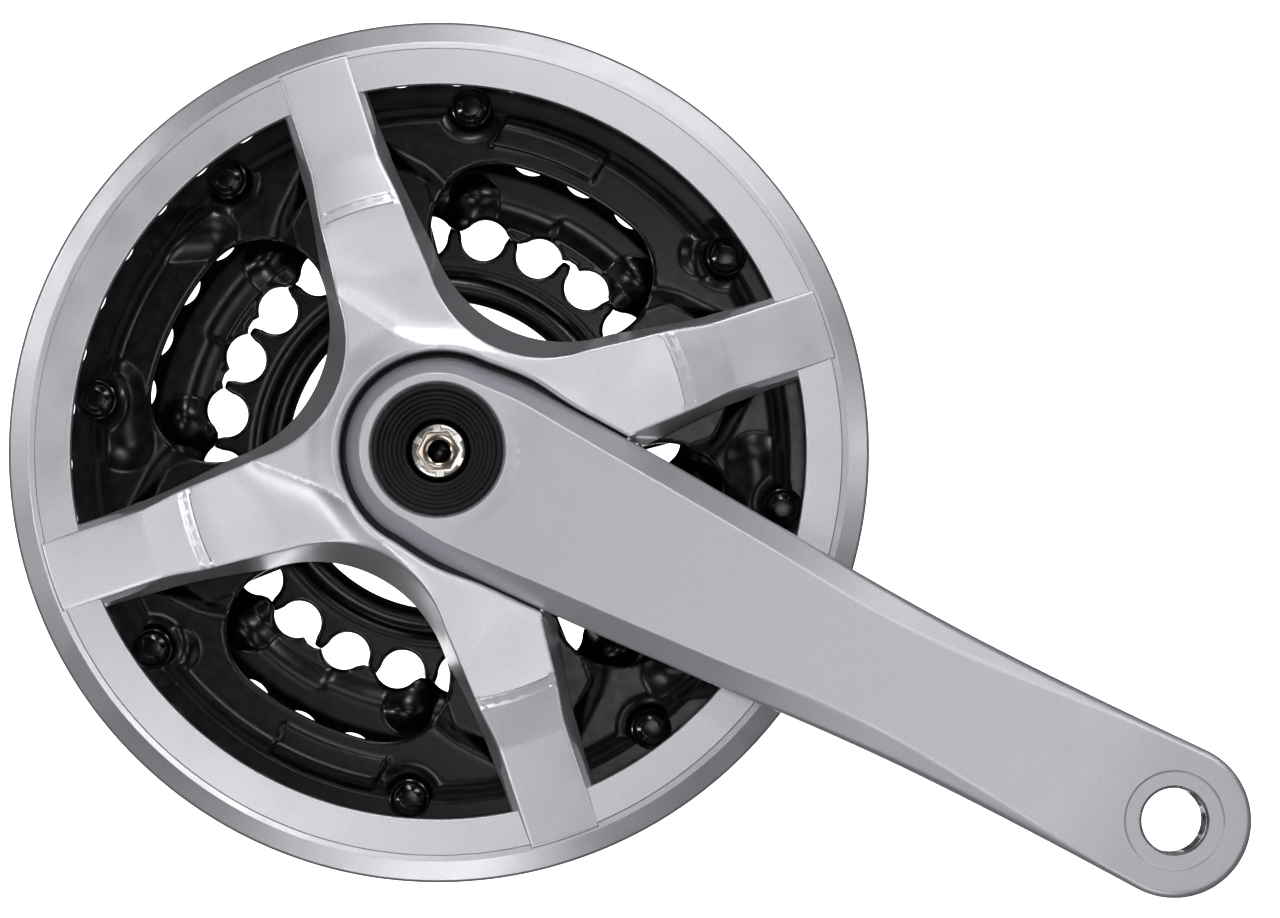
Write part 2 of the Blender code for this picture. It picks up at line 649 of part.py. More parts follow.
def build_crank_arm(material):
    bm = bmesh.new()
    loops = arm_loops(bm)
    for loop, following in zip(loops, loops[1:]):
        bridge(bm, loop, following)
    ladder_cap(bm, loops[0])
    ladder_cap(bm, loops[-1])
    arm = make_object("crank_arm", bm, material, 30.0)

    collar_back = OUTER_Y + RING_THICKNESS + GAP
    collar_end = collar_back + COLLAR_THICKNESS
    boss = [
        (0.0, 0.0), (TAIL_RADIUS - TAIL_CHAMFER, 0.0), (TAIL_RADIUS, -TAIL_CHAMFER),
        (TAIL_RADIUS, collar_end),
        (COLLAR_RADIUS, collar_end - COLLAR_CHAMFER), (COLLAR_RADIUS, collar_back),
        (NECK_RADIUS, collar_back), (NECK_RADIUS, OUTER_Y - GAP), (SHOULDER_RADIUS, OUTER_Y - GAP),
        (SHOULDER_RADIUS, BOSS_ROOT_Y), (0.0, BOSS_ROOT_Y),
    ]
    combine(arm, turned("boss_tail", boss, MEDIUM_ROUND), 'UNION')

    outside = BOSS_FACE_Y - CUTTER_OVERRUN
    front_bore = [
        (0.0, outside), (COUNTERBORE_RADIUS, outside), (COUNTERBORE_RADIUS, COUNTERBORE_Y),
        (EXTRACTOR_BORE_RADIUS, COUNTERBORE_Y), (EXTRACTOR_BORE_RADIUS, BORE_SHOULDER_Y),
        (0.0, BORE_SHOULDER_Y),
    ]
    combine(arm, turned("front_bore_cutter", front_bore, MEDIUM_ROUND), 'DIFFERENCE')
    combine(arm, square_taper_cutter(), 'DIFFERENCE')

    outside = EYE_FACE_Y - CUTTER_OVERRUN
    face = EYE_FACE_Y + SPOT_FACE_DEPTH
    back = ARM_BACK_LINE[-1][1]
    chamfer = PEDAL_CHAMFER_RADIUS - PEDAL_BORE_RADIUS
    pedal_bore = [
        (0.0, outside), (SPOT_FACE_RADIUS, outside), (SPOT_FACE_RADIUS, face),
        (PEDAL_CHAMFER_RADIUS, face), (PEDAL_BORE_RADIUS, face + chamfer),
        (PEDAL_BORE_RADIUS, back - chamfer),
        (PEDAL_CHAMFER_RADIUS + CUTTER_OVERRUN, back + CUTTER_OVERRUN), (0.0, back + CUTTER_OVERRUN),
    ]
    cutter = turned("pedal_bore_cutter", pedal_bore, MEDIUM_ROUND, centre=(CRANK_LENGTH, 0.0))
    combine(arm, cutter, 'DIFFERENCE')


# chain guard

def opening_outline():
    """Half of the guard's opening round the arm, as (x, z) points with z above zero."""
    points = []
    for angle in range(180, 90, -OPENING_ANGLE_STEP):
        points.append(polar(boss_outline_radius(angle) + OPENING_CLEARANCE_BOSS, angle))
    blend = list(zip(OPENING_BLEND, (OPENING_CLEARANCE_BOSS, OPENING_CLEARANCE_ARM)))
    for x in range(0, OPENING_LENGTH, OPENING_STEP):
        clearance = straight_table(blend, x)
        points.append((x, arm_width(x, 2) + clearance))
    return points


def opening_radius(angle_degrees):
    """Distance from the axis to the edge of the opening in one direction."""
    folded = abs((angle_degrees + 180.0) % 360.0 - 180.0)
    outline = [(degrees(atan2(z, x)), hypot(x, z)) for x, z in opening_outline()]
    return straight_table(sorted(outline), folded)


def window_angle(radius, vertex, fillet, spoke):
    """Angle between a window's axis and its edge at a radius; zero nearer than the window's vertex."""
    if radius <= vertex:
        return 0.0
    if radius < spoke[0][0]:
        centre = vertex + fillet
        cosine = (radius ** 2 + centre ** 2 - fillet ** 2) / (2 * radius * centre)
        return degrees(acos(min(cosine, 1.0)))
    return 45.0 - degrees(asin(straight_table(spoke, radius) / radius))


def arm_side_corner(vertex, fillet, spoke):
    """Angle from the window's axis where the arm-side window meets the opening round the arm."""
    angle = 45.0
    while window_angle(opening_radius(angle), vertex, fillet, spoke) < angle:
        angle -= CORNER_SEARCH_STEP
    return angle


def web_grid(spoke_angle, side, vertex, fillet, spoke):
    """Points of one eighth of the guard's web, from the rim to the opening.

    Rows go inwards; columns go from the spoke's centre line to the window's edge. side is +1 or -1.
    """
    last_angle = 45.0
    edge_rows = WEB_INNER_ROWS - 1
    edge_end = vertex
    if (spoke_angle + 45.0 * side) % 360.0 == 0.0:
        corner = arm_side_corner(vertex, fillet, spoke)
        last_angle = 45.0 - corner
        edge_rows = WEB_INNER_ROWS
        edge_end = opening_radius(corner)
    fillet_start = WEB_OUTER_ROWS[-1]
    centre_end = opening_radius(spoke_angle)
    radii = [(r, r) for r in WEB_OUTER_ROWS]
    for i in range(1, WEB_INNER_ROWS):
        centre_radius = fillet_start + (centre_end - fillet_start) * i / WEB_INNER_ROWS
        radii.append((centre_radius, fillet_start + (edge_end - fillet_start) * i / edge_rows))
    rows = []
    for centre_radius, edge_radius in radii:
        half = 45.0 - window_angle(edge_radius, vertex, fillet, spoke)
        row = []
        for c in range(WEB_COLUMNS + 1):
            f = c / WEB_COLUMNS
            radius = centre_radius + (edge_radius - centre_radius) * f
            row.append(polar(radius, spoke_angle + half * f * side))
        rows.append(row)
    row = []
    for c in range(WEB_COLUMNS + 1):
        angle = spoke_angle + last_angle * side * c / WEB_COLUMNS
        row.append(polar(opening_radius(angle), angle))
    rows.append(row)
    return rows


def web_front_y(point):
    return straight_table(WEB_PROFILE, hypot(*point))


def build_web(bm):
    """The guard's hub and spokes: a closed slab with drafted window edges."""
    for spoke_angle in QUADRANTS:
        for side in (1, -1):
            front_grid = web_grid(spoke_angle, side, WINDOW_VERTEX_FRONT, WINDOW_FILLET_FRONT, SPOKE_FRONT)
            back_grid = web_grid(spoke_angle, side, WINDOW_VERTEX_BACK, WINDOW_FILLET_BACK, SPOKE_BACK)
            front = [[bm.verts.new((p[0], web_front_y(p), p[1])) for p in row] for row in front_grid]
            back = [[bm.verts.new((p[0], GUARD_BACK_Y, p[1])) for p in row] for row in back_grid]
            rows = len(front)
            for grid in (front, back):
                for r in range(rows - 1):
                    for c in range(WEB_COLUMNS):
                        bm.faces.new((grid[r][c], grid[r][c + 1], grid[r + 1][c + 1], grid[r + 1][c]))
            closed_edge = rows - 1 if (spoke_angle + 45.0 * side) % 360.0 == 0.0 else rows - 2
            for r in range(closed_edge):
                bm.faces.new((front[r][-1], front[r + 1][-1], back[r + 1][-1], back[r][-1]))
            for c in range(WEB_COLUMNS):
                bm.faces.new((front[0][c], front[0][c + 1], back[0][c + 1], back[0][c]))
                bm.faces.new((front[-1][c], front[-1][c + 1], back[-1][c + 1], back[-1][c]))
    bmesh.ops.remove_doubles(bm, verts=bm.verts, dist=WELD_DISTANCE)


def build_chain_guard(material):
    bm = bmesh.new()
    build_web(bm)
    guard = make_object("chain_guard", bm, material, 20.0)

    combine(guard, turned("guard_rim", RIM_PROFILE, LARGE_ROUND), 'UNION')

    end = OUTER_Y - GAP
    post = [(0.0, end), (POST_RADIUS, end), (POST_RADIUS, POST_ROOT_Y), (0.0, POST_ROOT_Y)]
    posts = [(post, SMALL_ROUND, polar(SCREW_CIRCLE, a)) for a in QUADRANTS]
    combine(guard, join_bodies("guard_posts", posts), 'UNION')
    radius = SCREW_RADIUS + GAP
    floor = SCREW_END_Y - GAP
    mouth = end + CUTTER_OVERRUN
    hole = [(0.0, mouth), (radius, mouth), (radius, floor), (0.0, floor)]
    holes = [(hole, SMALL_ROUND, polar(SCREW_CIRCLE, a)) for a in QUADRANTS]
    combine(guard, join_bodies("guard_screw_holes", holes), 'DIFFERENCE')


def build_guard_screws(material):
    seat = OUTER_Y + RING_THICKNESS + GAP
    top = seat + SCREW_HEAD_HEIGHT
    profile = [
        (0.0, SCREW_END_Y), (SCREW_RADIUS - SCREW_POINT, SCREW_END_Y),
        (SCREW_RADIUS, SCREW_END_Y + SCREW_POINT), (SCREW_RADIUS, seat),
        (SCREW_HEAD_RADIUS, seat), (SCREW_HEAD_RADIUS, top - SCREW_HEAD_CHAMFER),
        (SCREW_HEAD_RADIUS - SCREW_HEAD_CHAMFER, top), (0.0, top),
    ]
    for i, angle in enumerate(QUADRANTS, 1):
        turned(f"guard_screw_{i}", profile, SMALL_ROUND, material, polar(SCREW_CIRCLE, angle))


# bolt, washer and cap

def build_bolt(steel):
    profile = [
        (0.0, BOLT_END_Y), (BOLT_THREAD_RADIUS - BOLT_CHAMFER, BOLT_END_Y),
        (BOLT_THREAD_RADIUS, BOLT_END_Y - BOLT_CHAMFER), (BOLT_THREAD_RADIUS, BOLT_SEAT_Y),
        (BOLT_FLANGE_RADIUS, BOLT_SEAT_Y), (BOLT_FLANGE_RADIUS, BOLT_FLANGE_Y),
        (BOLT_HEAD_RADIUS, BOLT_FLANGE_Y - BOLT_CHAMFER), (BOLT_HEAD_RADIUS, BOLT_HEAD_Y + BOLT_HEAD_CHAMFER),
        (BOLT_HEAD_RADIUS - BOLT_HEAD_CHAMFER, BOLT_HEAD_Y), (0.0, BOLT_HEAD_Y),
    ]
    bolt = turned("crank_bolt", profile, MEDIUM_ROUND, steel)
    bm = bmesh.new()
    corner_radius = HEX_ACROSS_FLATS / 2 / cos(pi / 6)
    hexagon = [polar(corner_radius, 30 + 60 * i) for i in range(6)]
    rings = [add_loop(bm, hexagon, BOLT_HEAD_Y - CUTTER_OVERRUN), add_loop(bm, hexagon, HEX_FLOOR_Y)]
    bridge(bm, rings[0], rings[1])
    bm.faces.new(rings[0])
    bm.faces.new(rings[1])
    combine(bolt, make_object("hex_socket_cutter", bm), 'DIFFERENCE')
    mouth = BOLT_HEAD_Y - CUTTER_OVERRUN
    pilot = [(0.0, mouth), (PILOT_RADIUS, mouth)]
    pilot += [(PILOT_RADIUS, PILOT_END_Y - PILOT_POINT), (0.0, PILOT_END_Y)]
    combine(bolt, turned("pilot_hole_cutter", pilot, 2 * SMALL_ROUND), 'DIFFERENCE')


def build_washer(steel):
    back = BORE_SHOULDER_Y - GAP
    front = back - WASHER_THICKNESS
    profile = [
        (WASHER_BORE_RADIUS, front), (WASHER_RADIUS - WASHER_CHAMFER, front),
        (WASHER_RADIUS, front + WASHER_CHAMFER), (WASHER_RADIUS, back), (WASHER_BORE_RADIUS, back),
    ]
    turned("bolt_washer", profile, MEDIUM_ROUND, steel)


def build_dust_cap(material):
    flange_back = COUNTERBORE_Y - GAP
    skirt_back = BOLT_FLANGE_Y - BOLT_CHAMFER - GAP
    inner = CAP_FUNNEL[-1][0]
    profile = [
        (CAP_RADIUS - CAP_EDGE, CAP_FRONT_Y), (CAP_RADIUS, CAP_FRONT_Y + CAP_EDGE), (CAP_RADIUS, flange_back),
        (CAP_SKIRT_RADIUS, flange_back), (CAP_SKIRT_RADIUS, skirt_back), (inner, skirt_back),
    ]
    turned("dust_cap", profile + list(reversed(CAP_FUNNEL)), MEDIUM_ROUND, material)


def main():
    clear_scene()
    silver_metal = make_material("silver_aluminium", (0.66, 0.66, 0.70), 0.75, 0.38)
    silver_plastic = make_material("silver_plastic", (0.68, 0.68, 0.72), 0.45, 0.42)
    black_steel = make_material("black_steel", (0.018, 0.018, 0.02), 0.3, 0.42)
    bright_steel = make_material("bright_steel", (0.72, 0.71, 0.69), 1.0, 0.22)
    black_resin = make_material("black_resin", (0.02, 0.02, 0.022), 0.0, 0.5)
    build_crank_arm(silver_metal)
    build_chain_guard(silver_plastic)
    build_guard_screws(bright_steel)
    build_outer_ring(black_steel)
    build_middle_ring(black_steel)
    build_inner_ring(black_steel)
    build_rivets(bright_steel, black_steel)
    build_bolt(bright_steel)
    build_washer(bright_steel)
    build_dust_cap(black_resin)


main()
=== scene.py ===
"""Looks of the bicycle crankset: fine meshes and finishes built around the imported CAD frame.

Lengths are in millimetres and are turned into metres where meshes are made. Outlines are (x, z)
points: +X runs along the arm, +Z is up, and -Y is the outboard side, which the camera sees.
"""
from math import asin, atan2, cos, degrees, hypot, pi, radians, sin

import bmesh
import bpy
import numpy as np
from mathutils import Matrix, Vector, geometry, kdtree


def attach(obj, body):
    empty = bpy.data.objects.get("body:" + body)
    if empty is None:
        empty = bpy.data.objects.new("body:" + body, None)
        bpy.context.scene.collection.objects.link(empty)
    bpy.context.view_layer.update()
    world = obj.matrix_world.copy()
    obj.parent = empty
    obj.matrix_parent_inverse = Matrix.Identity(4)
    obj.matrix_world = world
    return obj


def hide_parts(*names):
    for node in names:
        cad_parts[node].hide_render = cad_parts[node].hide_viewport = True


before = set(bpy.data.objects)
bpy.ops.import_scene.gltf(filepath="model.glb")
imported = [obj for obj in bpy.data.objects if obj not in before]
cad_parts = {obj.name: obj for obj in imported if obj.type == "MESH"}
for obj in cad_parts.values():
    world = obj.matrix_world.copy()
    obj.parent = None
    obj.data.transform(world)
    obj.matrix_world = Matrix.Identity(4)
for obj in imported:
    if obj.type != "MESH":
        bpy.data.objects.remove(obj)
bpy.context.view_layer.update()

MM = 0.001
AXES = (0, 90, 180, 270)
QUADRANTS = (45.0, 135.0, 225.0, 315.0)
FINE_ROUND = 240         # facets round a large turned piece
ROUND = 120
SMALL_ROUND = 48

# chain and chainrings
CHAIN_PITCH = 12.7
GULLET_RADIUS = 4.85
RING_THICKNESS = 2.0
RING_ARM_HALF_WIDTH = 12.6
PIN_CIRCLE = 75.5
PIN_ANGLES = (17.5, 61.3, 111.7, 154.8, 198.1, 241.2, 291.8, 334.2)
SCREW_CIRCLE = 75.5
RING_RIVET_CIRCLE = 47.0
INNER_RIVET_CIRCLE = 30.0
OUTER_Y = -14.0          # outboard face of the outer ring
MIDDLE_Y = -6.0
INNER_Y = 2.0
RIVET_HOLE_RADIUS = 2.9
# pressed ridges as (start, end, half width, height); the outer ring has each at two places, the middle
# ring at four
OUTER_RIDGES = (
    ((-73.5, 15.6), (-66.0, 20.0), 6.0, 1.2),
    ((-69.5, -19.5), (-62.0, -29.0), 6.5, 1.3),
    ((31.5, 64.0), (33.0, 68.0), 5.0, 1.1),
)
MIDDLE_RIDGES = (((49.0, 18.0), (53.0, 18.6), 5.4, 1.7), ((47.0, -18.6), (52.0, -20.4), 6.0, 1.9))
RING_EDGE = ((0.0, 0.42), (0.12, 0.16), (0.42, 0.0))     # (inset, drop) rows that round a ring's edges
RING_SPACING = 0.6       # between the points of a ring's mesh

# crank arm
CRANK_LENGTH = 175.0
BOSS_FACE_Y = -30.5
EYE_FACE_Y = -43.7
# (x, half width of the outboard face, half width of the arm, drop of the bevel between the two)
ARM_STATIONS = (
    (0.0, 16.4, 20.3, 5.2),
    (10.0, 17.1, 21.3, 5.4),
    (20.0, 16.6, 21.0, 5.4),
    (35.0, 15.6, 20.5, 5.2),
    (50.0, 14.7, 19.8, 5.0),
    (75.0, 13.0, 18.3, 4.4),
    (95.0, 11.4, 16.9, 3.6),
    (115.0, 11.2, 16.0, 2.6),
    (135.0, 12.6, 15.75, 1.8),
    (155.0, 14.4, 15.95, 1.3),
    (175.0, 15.3, 16.4, 1.0),
)
ARM_BACK = ((22.0, -16.4), (80.0, -25.5), (160.0, -31.2))     # (x, y) of the arm's inboard face
TAPER_OUTER, TAPER_INNER, TAPER_LENGTH = 12.8, 13.9, 15.5     # square hole, across flats
BOSS_BORE_RADIUS = 14.4
PEDAL_THREAD_RADIUS = 6.85

# chain guard
GUARD_RADIUS = 93.0
GUARD_BACK_Y = -17.6
GUARD_FRONT_Y = -24.0
RIM_INNER_RADIUS = 79.2
SPOKE_END_RADIUS = 88.0
WINDOW_FRONT = (25.4, 25.5)      # vertex distance and fillet radius of a window's outboard edge
WINDOW_BACK = (30.3, 30.0)
# (radius, half width of a spoke) outboard and inboard
SPOKE_FRONT = ((38.0, 10.5), (48.7, 9.55), (56.0, 9.0), (65.5, 7.75), (88.0, 7.8))
SPOKE_BACK = ((45.0, 12.6), (50.0, 11.75), (60.0, 10.3), (73.0, 9.5), (88.0, 9.3))
# (radius, y) of the web's outboard surface
WEB_PROFILE = (
    (20.0, -29.4), (26.0, -29.0), (53.9, -28.9), (54.3, -28.55), (55.8, -28.35),
    (56.2, -28.0), (65.5, -26.1), (88.0, -23.6),
)
# (x, |z|) of the soft crease where a spoke's surface meets the pad beside the boss
HUB_CREASE = (
    (-33.0, 19.8), (-20.0, 18.4), (-13.0, 18.8), (-5.0, 21.5), (0.0, 23.5), (5.0, 25.0), (15.0, 28.0),
)


# outlines

def smoothstep(low, high, value):
    t = np.clip((value - low) / (high - low), 0.0, 1.0)
    return t * t * (3 - 2 * t)


def smooth_table(table, x):
    """Value of a (position, value) table at x, on a smooth curve through its points."""
    x = min(max(x, table[0][0]), table[-1][0])
    last = len(table) - 1
    around = [(table[max(i - 1, 0)], table[min(i + 1, last)]) for i in range(last + 1)]
    slopes = [(after[1] - before[1]) / (after[0] - before[0]) for before, after in around]
    for i in range(last):
        (x0, y0), (x1, y1) = table[i], table[i + 1]
        if x <= x1:
            span = x1 - x0
            t = (x - x0) / span
            value = y0 * (1 + 2 * t) * (1 - t) ** 2 + y1 * t * t * (3 - 2 * t)
            return value + span * t * (1 - t) * (slopes[i] * (1 - t) - slopes[i + 1] * t)


def straight_table(table, x):
    """Value of a (position, value) table at x, on straight stretches; x is a number or an array."""
    return np.interp(x, *zip(*table))


def polar(radius, angle_degrees):
    angle = radians(angle_degrees)
    return (radius * cos(angle), radius * sin(angle))


def arc(centre, radius, start, end, steps):
    """Points of an arc from start to end degrees, both ends included."""
    points = []
    for i in range(steps + 1):
        dx, dz = polar(radius, start + (end - start) * i / steps)
        points.append((centre[0] + dx, centre[1] + dz))
    return points


def circle(centre, radius, spacing):
    steps = max(int(2 * pi * radius / spacing), 24)
    return arc(centre, radius, 0, 360, steps)[:-1]


def hole_circle(distance, radius, angles=QUADRANTS):
    """Round holes at one distance from the axis."""
    return [circle(polar(distance, angle), radius, 0.5) for angle in angles]


def rotate_points(points, angle_degrees):
    c, s = polar(1.0, angle_degrees)
    return [(x * c - z * s, x * s + z * c) for x, z in points]


def densify(points, spacing, closed=True):
    """The same line with no stretch longer than spacing."""
    result = []
    ends = points[1:] + points[:1] if closed else points[1:]
    for (x0, z0), (x1, z1) in zip(points, ends):
        parts = max(int(hypot(x1 - x0, z1 - z0) / spacing + 0.5), 1)
        result += [(x0 + (x1 - x0) * i / parts, z0 + (z1 - z0) * i / parts) for i in range(parts)]
    if not closed:
        result.append(points[-1])
    return result


def fillet(points, radii, steps=4, closed=False):
    """Round the corners of a line; radii is one radius, or one for each point."""
    count = len(points)
    if not hasattr(radii, "__len__"):
        radii = [radii] * count
    result = []
    for i, (corner, radius) in enumerate(zip(points, radii)):
        if radius == 0 or (not closed and i in (0, count - 1)):
            result.append(tuple(corner))
            continue
        p = Vector(corner)
        to_before = Vector(points[i - 1]) - p
        to_after = Vector(points[(i + 1) % count]) - p
        bend = to_before.angle(to_after)
        reach = min(radius / np.tan(bend / 2), 0.48 * to_before.length, 0.48 * to_after.length)
        start = p + to_before.normalized() * reach
        end = p + to_after.normalized() * reach
        for s in range(steps + 1):
            t = s / steps
            point = start * (1 - t) ** 2 + p * 2 * t * (1 - t) + end * t * t
            result.append(tuple(point))
    return result


def inset_loop(points, distance):
    """The loop moved to its left by distance, with mitred corners."""
    p = np.array(points)
    before = p - np.roll(p, 1, 0)
    after = np.roll(p, -1, 0) - p
    before /= np.linalg.norm(before, axis=1)[:, None]
    after /= np.linalg.norm(after, axis=1)[:, None]
    left_before = np.stack([-before[:, 1], before[:, 0]], 1)
    left_after = np.stack([-after[:, 1], after[:, 0]], 1)
    together = 1 + (left_before * left_after).sum(1)
    return p + distance * (left_before + left_after) / np.maximum(together, 0.5)[:, None]


def turn_loop(points, sign):
    """The loop run anticlockwise for sign +1 and clockwise for sign -1."""
    p = np.array(points)
    area = (p[:, 0] * np.roll(p[:, 1], -1) - p[:, 1] * np.roll(p[:, 0], -1)).sum()
    return list(points) if area * sign > 0 else list(points)[::-1]


def inside(points, loop):
    """Which points lie inside a closed loop."""
    order = np.argsort(points[:, 1])
    x, z = points[order].T
    sorted_result = np.zeros(len(points), bool)
    for (x0, z0), (x1, z1) in zip(loop, loop[1:] + loop[:1]):
        if z0 != z1:
            low, high = np.searchsorted(z, (min(z0, z1), max(z0, z1)))
            crossing_x = (x1 - x0) * (z[low:high] - z0) / (z1 - z0) + x0
            sorted_result[low:high] ^= x[low:high] < crossing_x
    result = np.empty(len(points), bool)
    result[order] = sorted_result
    return result


def in_region(points, loops):
    """Which points lie inside the first loop and outside all the others."""
    kept = inside(points, loops[0])
    for hole in loops[1:]:
        kept &= ~inside(points, hole)
    return kept


def polar_fill(inner, outer, spacing):
    """Points on staggered rings that fill an annulus."""
    points = []
    rings = int((outer - inner) / spacing)
    for k in range(rings + 1):
        radius = inner + (outer - inner) * k / rings
        count = max(int(2 * pi * radius / spacing), 6)
        offset = 180.0 / count * (k % 2)
        points += [polar(radius, offset + 360.0 * i / count) for i in range(count)]
    return points


# meshes

def add_object(name, data):
    obj = bpy.data.objects.new(name, data)
    bpy.context.scene.collection.objects.link(obj)
    return obj


def make_object(name, verts, faces, smooth_angle=32.0):
    """An object from points in millimetres; place() turns it into metres."""
    mesh = bpy.data.meshes.new(name)
    mesh.from_pydata([tuple(v) for v in verts], [], [tuple(f) for f in faces])
    bm = bmesh.new()
    bm.from_mesh(mesh)
    bmesh.ops.remove_doubles(bm, verts=bm.verts, dist=1e-4)
    bmesh.ops.recalc_face_normals(bm, faces=bm.faces)
    bm.to_mesh(mesh)
    bm.free()
    mesh.shade_smooth()
    mesh.set_sharp_from_angle(angle=radians(smooth_angle))
    return add_object(name, mesh)


def search_tree(points):
    """A tree that finds the nearest of some flat points."""
    tree = kdtree.KDTree(len(points))
    for i, (x, z) in enumerate(points):
        tree.insert((x, z, 0.0), i)
    tree.balance()
    return tree


def region(outline, holes, fill, edge_rows, lines=()):
    """Triangulate the flat region inside outline and outside holes.

    edge_rows are (inset, drop) rows along every edge. Returns points, triangles and each point's drop.
    """
    clearance = 0.45
    loops = [turn_loop(outline, 1)] + [turn_loop(hole, -1) for hole in holes]
    points = []
    drops = []
    edges = []
    for loop in loops:
        for inset, drop in edge_rows:
            start = len(points)
            row = inset_loop(loop, inset)
            points += [tuple(p) for p in row]
            drops += [drop] * len(row)
            edges += [(start + i, start + (i + 1) % len(row)) for i in range(len(row))]
    for line in lines:
        start = len(points)
        points += line
        drops += [0.0] * len(line)
        edges += [(start + i, start + i + 1) for i in range(len(line) - 1)]
    tree = search_tree(points)
    fill = np.array(fill)
    for x, z in fill[in_region(fill, loops)]:
        if tree.find((x, z, 0.0))[2] > clearance:
            points.append((x, z))
            drops.append(0.0)
    found = geometry.delaunay_2d_cdt([Vector(p) for p in points], edges, [], 0, 1e-6)
    places = np.array([tuple(v) for v in found[0]])
    triangles = np.array([tuple(f) for f in found[2]])
    triangles = triangles[in_region(places[triangles].mean(1), loops)]
    drop = np.array([max([drops[i] for i in sources], default=0.0) for sources in found[3]])
    used = np.unique(triangles)
    order = np.full(len(places), -1)
    order[used] = np.arange(len(used))
    return places[used], order[triangles], drop[used]


def open_edges(triangles):
    """Directed edges that only one triangle has."""
    pairs = np.concatenate([triangles[:, [0, 1]], triangles[:, [1, 2]], triangles[:, [2, 0]]])
    known = set(map(tuple, pairs.tolist()))
    return [(a, b) for a, b in known if (b, a) not in known]


def plate(name, outline, holes, annulus, front):
    """A chainring's sheet with rounded edges; front gives its outboard y for arrays x, z.

    annulus is the inner radius, outer radius and spacing of the points that fill it.
    """
    places, triangles, drop = region(outline, holes, polar_fill(*annulus), RING_EDGE)
    x, z = places.T
    count = len(places)
    verts = np.concatenate([
        np.stack([x, front(x, z) + drop, z], 1),
        np.stack([x, front(x, z) + RING_THICKNESS - drop, z], 1),
    ])
    faces = [tuple(t) for t in triangles] + [tuple(t[::-1] + count) for t in triangles]
    faces += [(b, a, a + count, b + count) for a, b in open_edges(triangles)]
    return make_object(name, verts, faces)


def wall(rows, segments, closed=False):
    """Faces between rows of points; each row runs round a loop, and closed joins the last to the first."""
    faces = []
    for k in range(rows if closed else rows - 1):
        following = (k + 1) % rows
        for i in range(segments):
            j = (i + 1) % segments
            here, there = k * segments, following * segments
            faces.append((here + i, here + j, there + j, there + i))
    return faces


def lofted(name, angles, profile, centre, closed, smooth_angle=32.0):
    """A skin through rings round the Y direction, as (radius, or one radius for each angle; y)."""
    rings = []
    for radius, y in profile:
        x = centre[0] + radius * np.cos(angles)
        z = centre[1] + radius * np.sin(angles)
        rings.append(np.stack([x, np.full(len(angles), y), z], 1))
    return make_object(name, np.concatenate(rings), wall(len(rings), len(angles), closed), smooth_angle)


def turned(name, profile, segments=ROUND, centre=(0.0, 0.0), smooth_angle=32.0):
    """A solid turned round the Y direction; the profile is (radius, y) points.

    A profile that starts and ends on the axis makes a solid piece, and any other is closed into a ring.
    """
    angles = np.arange(segments) * 2 * pi / segments
    return lofted(name, angles, profile, centre, profile[0][0] != 0.0, smooth_angle)


def threaded(name, radius_at, rows, centre, ends):
    """A threaded rod or cutter: radius_at(turn, y) gives its surface; ends are extra (radius, y) caps."""
    segments = 96
    turns = np.arange(segments) / segments
    thread = [(radius_at(turns, y), y) for y in rows]
    return lofted(name, turns * 2 * pi, ends[0] + thread + ends[1], centre, False)


def prism(name, rows):
    """A solid through rows of (x, y, z) points, closed flat at both ends."""
    count = len(rows[0])
    last = count * (len(rows) - 1)
    faces = [tuple(range(count)), tuple(range(last, last + count))] + wall(len(rows), count)
    return make_object(name, [point for row in rows for point in row], faces)


def combine(target, tool, operation='DIFFERENCE'):
    """Cut or join a tool with the target by an exact Boolean, and remove the tool."""
    modifier = target.modifiers.new(tool.name, 'BOOLEAN')
    modifier.operation = operation
    modifier.solver = 'EXACT'
    modifier.object = tool
    bpy.context.view_layer.update()
    evaluated = target.evaluated_get(bpy.context.evaluated_depsgraph_get())
    mesh = bpy.data.meshes.new_from_object(evaluated)
    target.modifiers.clear()
    target.data = mesh
    bpy.data.objects.remove(tool, do_unlink=True)


def join(target, others):
    """Add other objects' meshes to the target's, as parts of the same piece."""
    bm = bmesh.new()
    bm.from_mesh(target.data)
    for other in others:
        bm.from_mesh(other.data)
        bpy.data.objects.remove(other, do_unlink=True)
    bm.to_mesh(target.data)
    bm.free()


def finish_edges(obj, angle=32.0):
    """Shade by angle, with flat faces kept flat beside narrow rounded edges."""
    obj.data.shade_smooth()
    obj.data.set_sharp_from_angle(angle=radians(angle))
    modifier = obj.modifiers.new("face_weighted_normals", 'WEIGHTED_NORMAL')
    modifier.keep_sharp = True
    modifier.weight = 60


def finish_and_shade_bores(obj, material, bores):
    """Another material for a placed piece's faces inside bores, as (axis x, radius, y from, y to) in mm: a
    bare metal finish in the arm's bores, and painted shade in the bolt's socket and pilot hole.
    """
    obj.data.materials.append(material)
    for face in obj.data.polygons:
        x, y, z = face.center / MM
        if any(hypot(x - axis_x, z) < radius and low < y < high for axis_x, radius, low, high in bores):
            face.material_index = len(obj.data.materials) - 1


def place(obj, node, body, slot, material):
    """Put a finished piece in the frame, in place of its CAD node."""
    obj.data.transform(Matrix.Scale(MM, 4))
    obj.data.materials.clear()
    obj.data.materials.append(material)
    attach(obj, body)
    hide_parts(node)


# materials

def set_inputs(node, **values):
    """Set a node's sockets; an underscore stands for a space in a socket's name."""
    for name, value in values.items():
        node.inputs[name.replace("_", " ")].default_value = value


def new_material(name):
    material = bpy.data.materials.new(name)
    material.use_nodes = True
    tree = material.node_tree
    return material, tree, tree.nodes["Principled BSDF"]


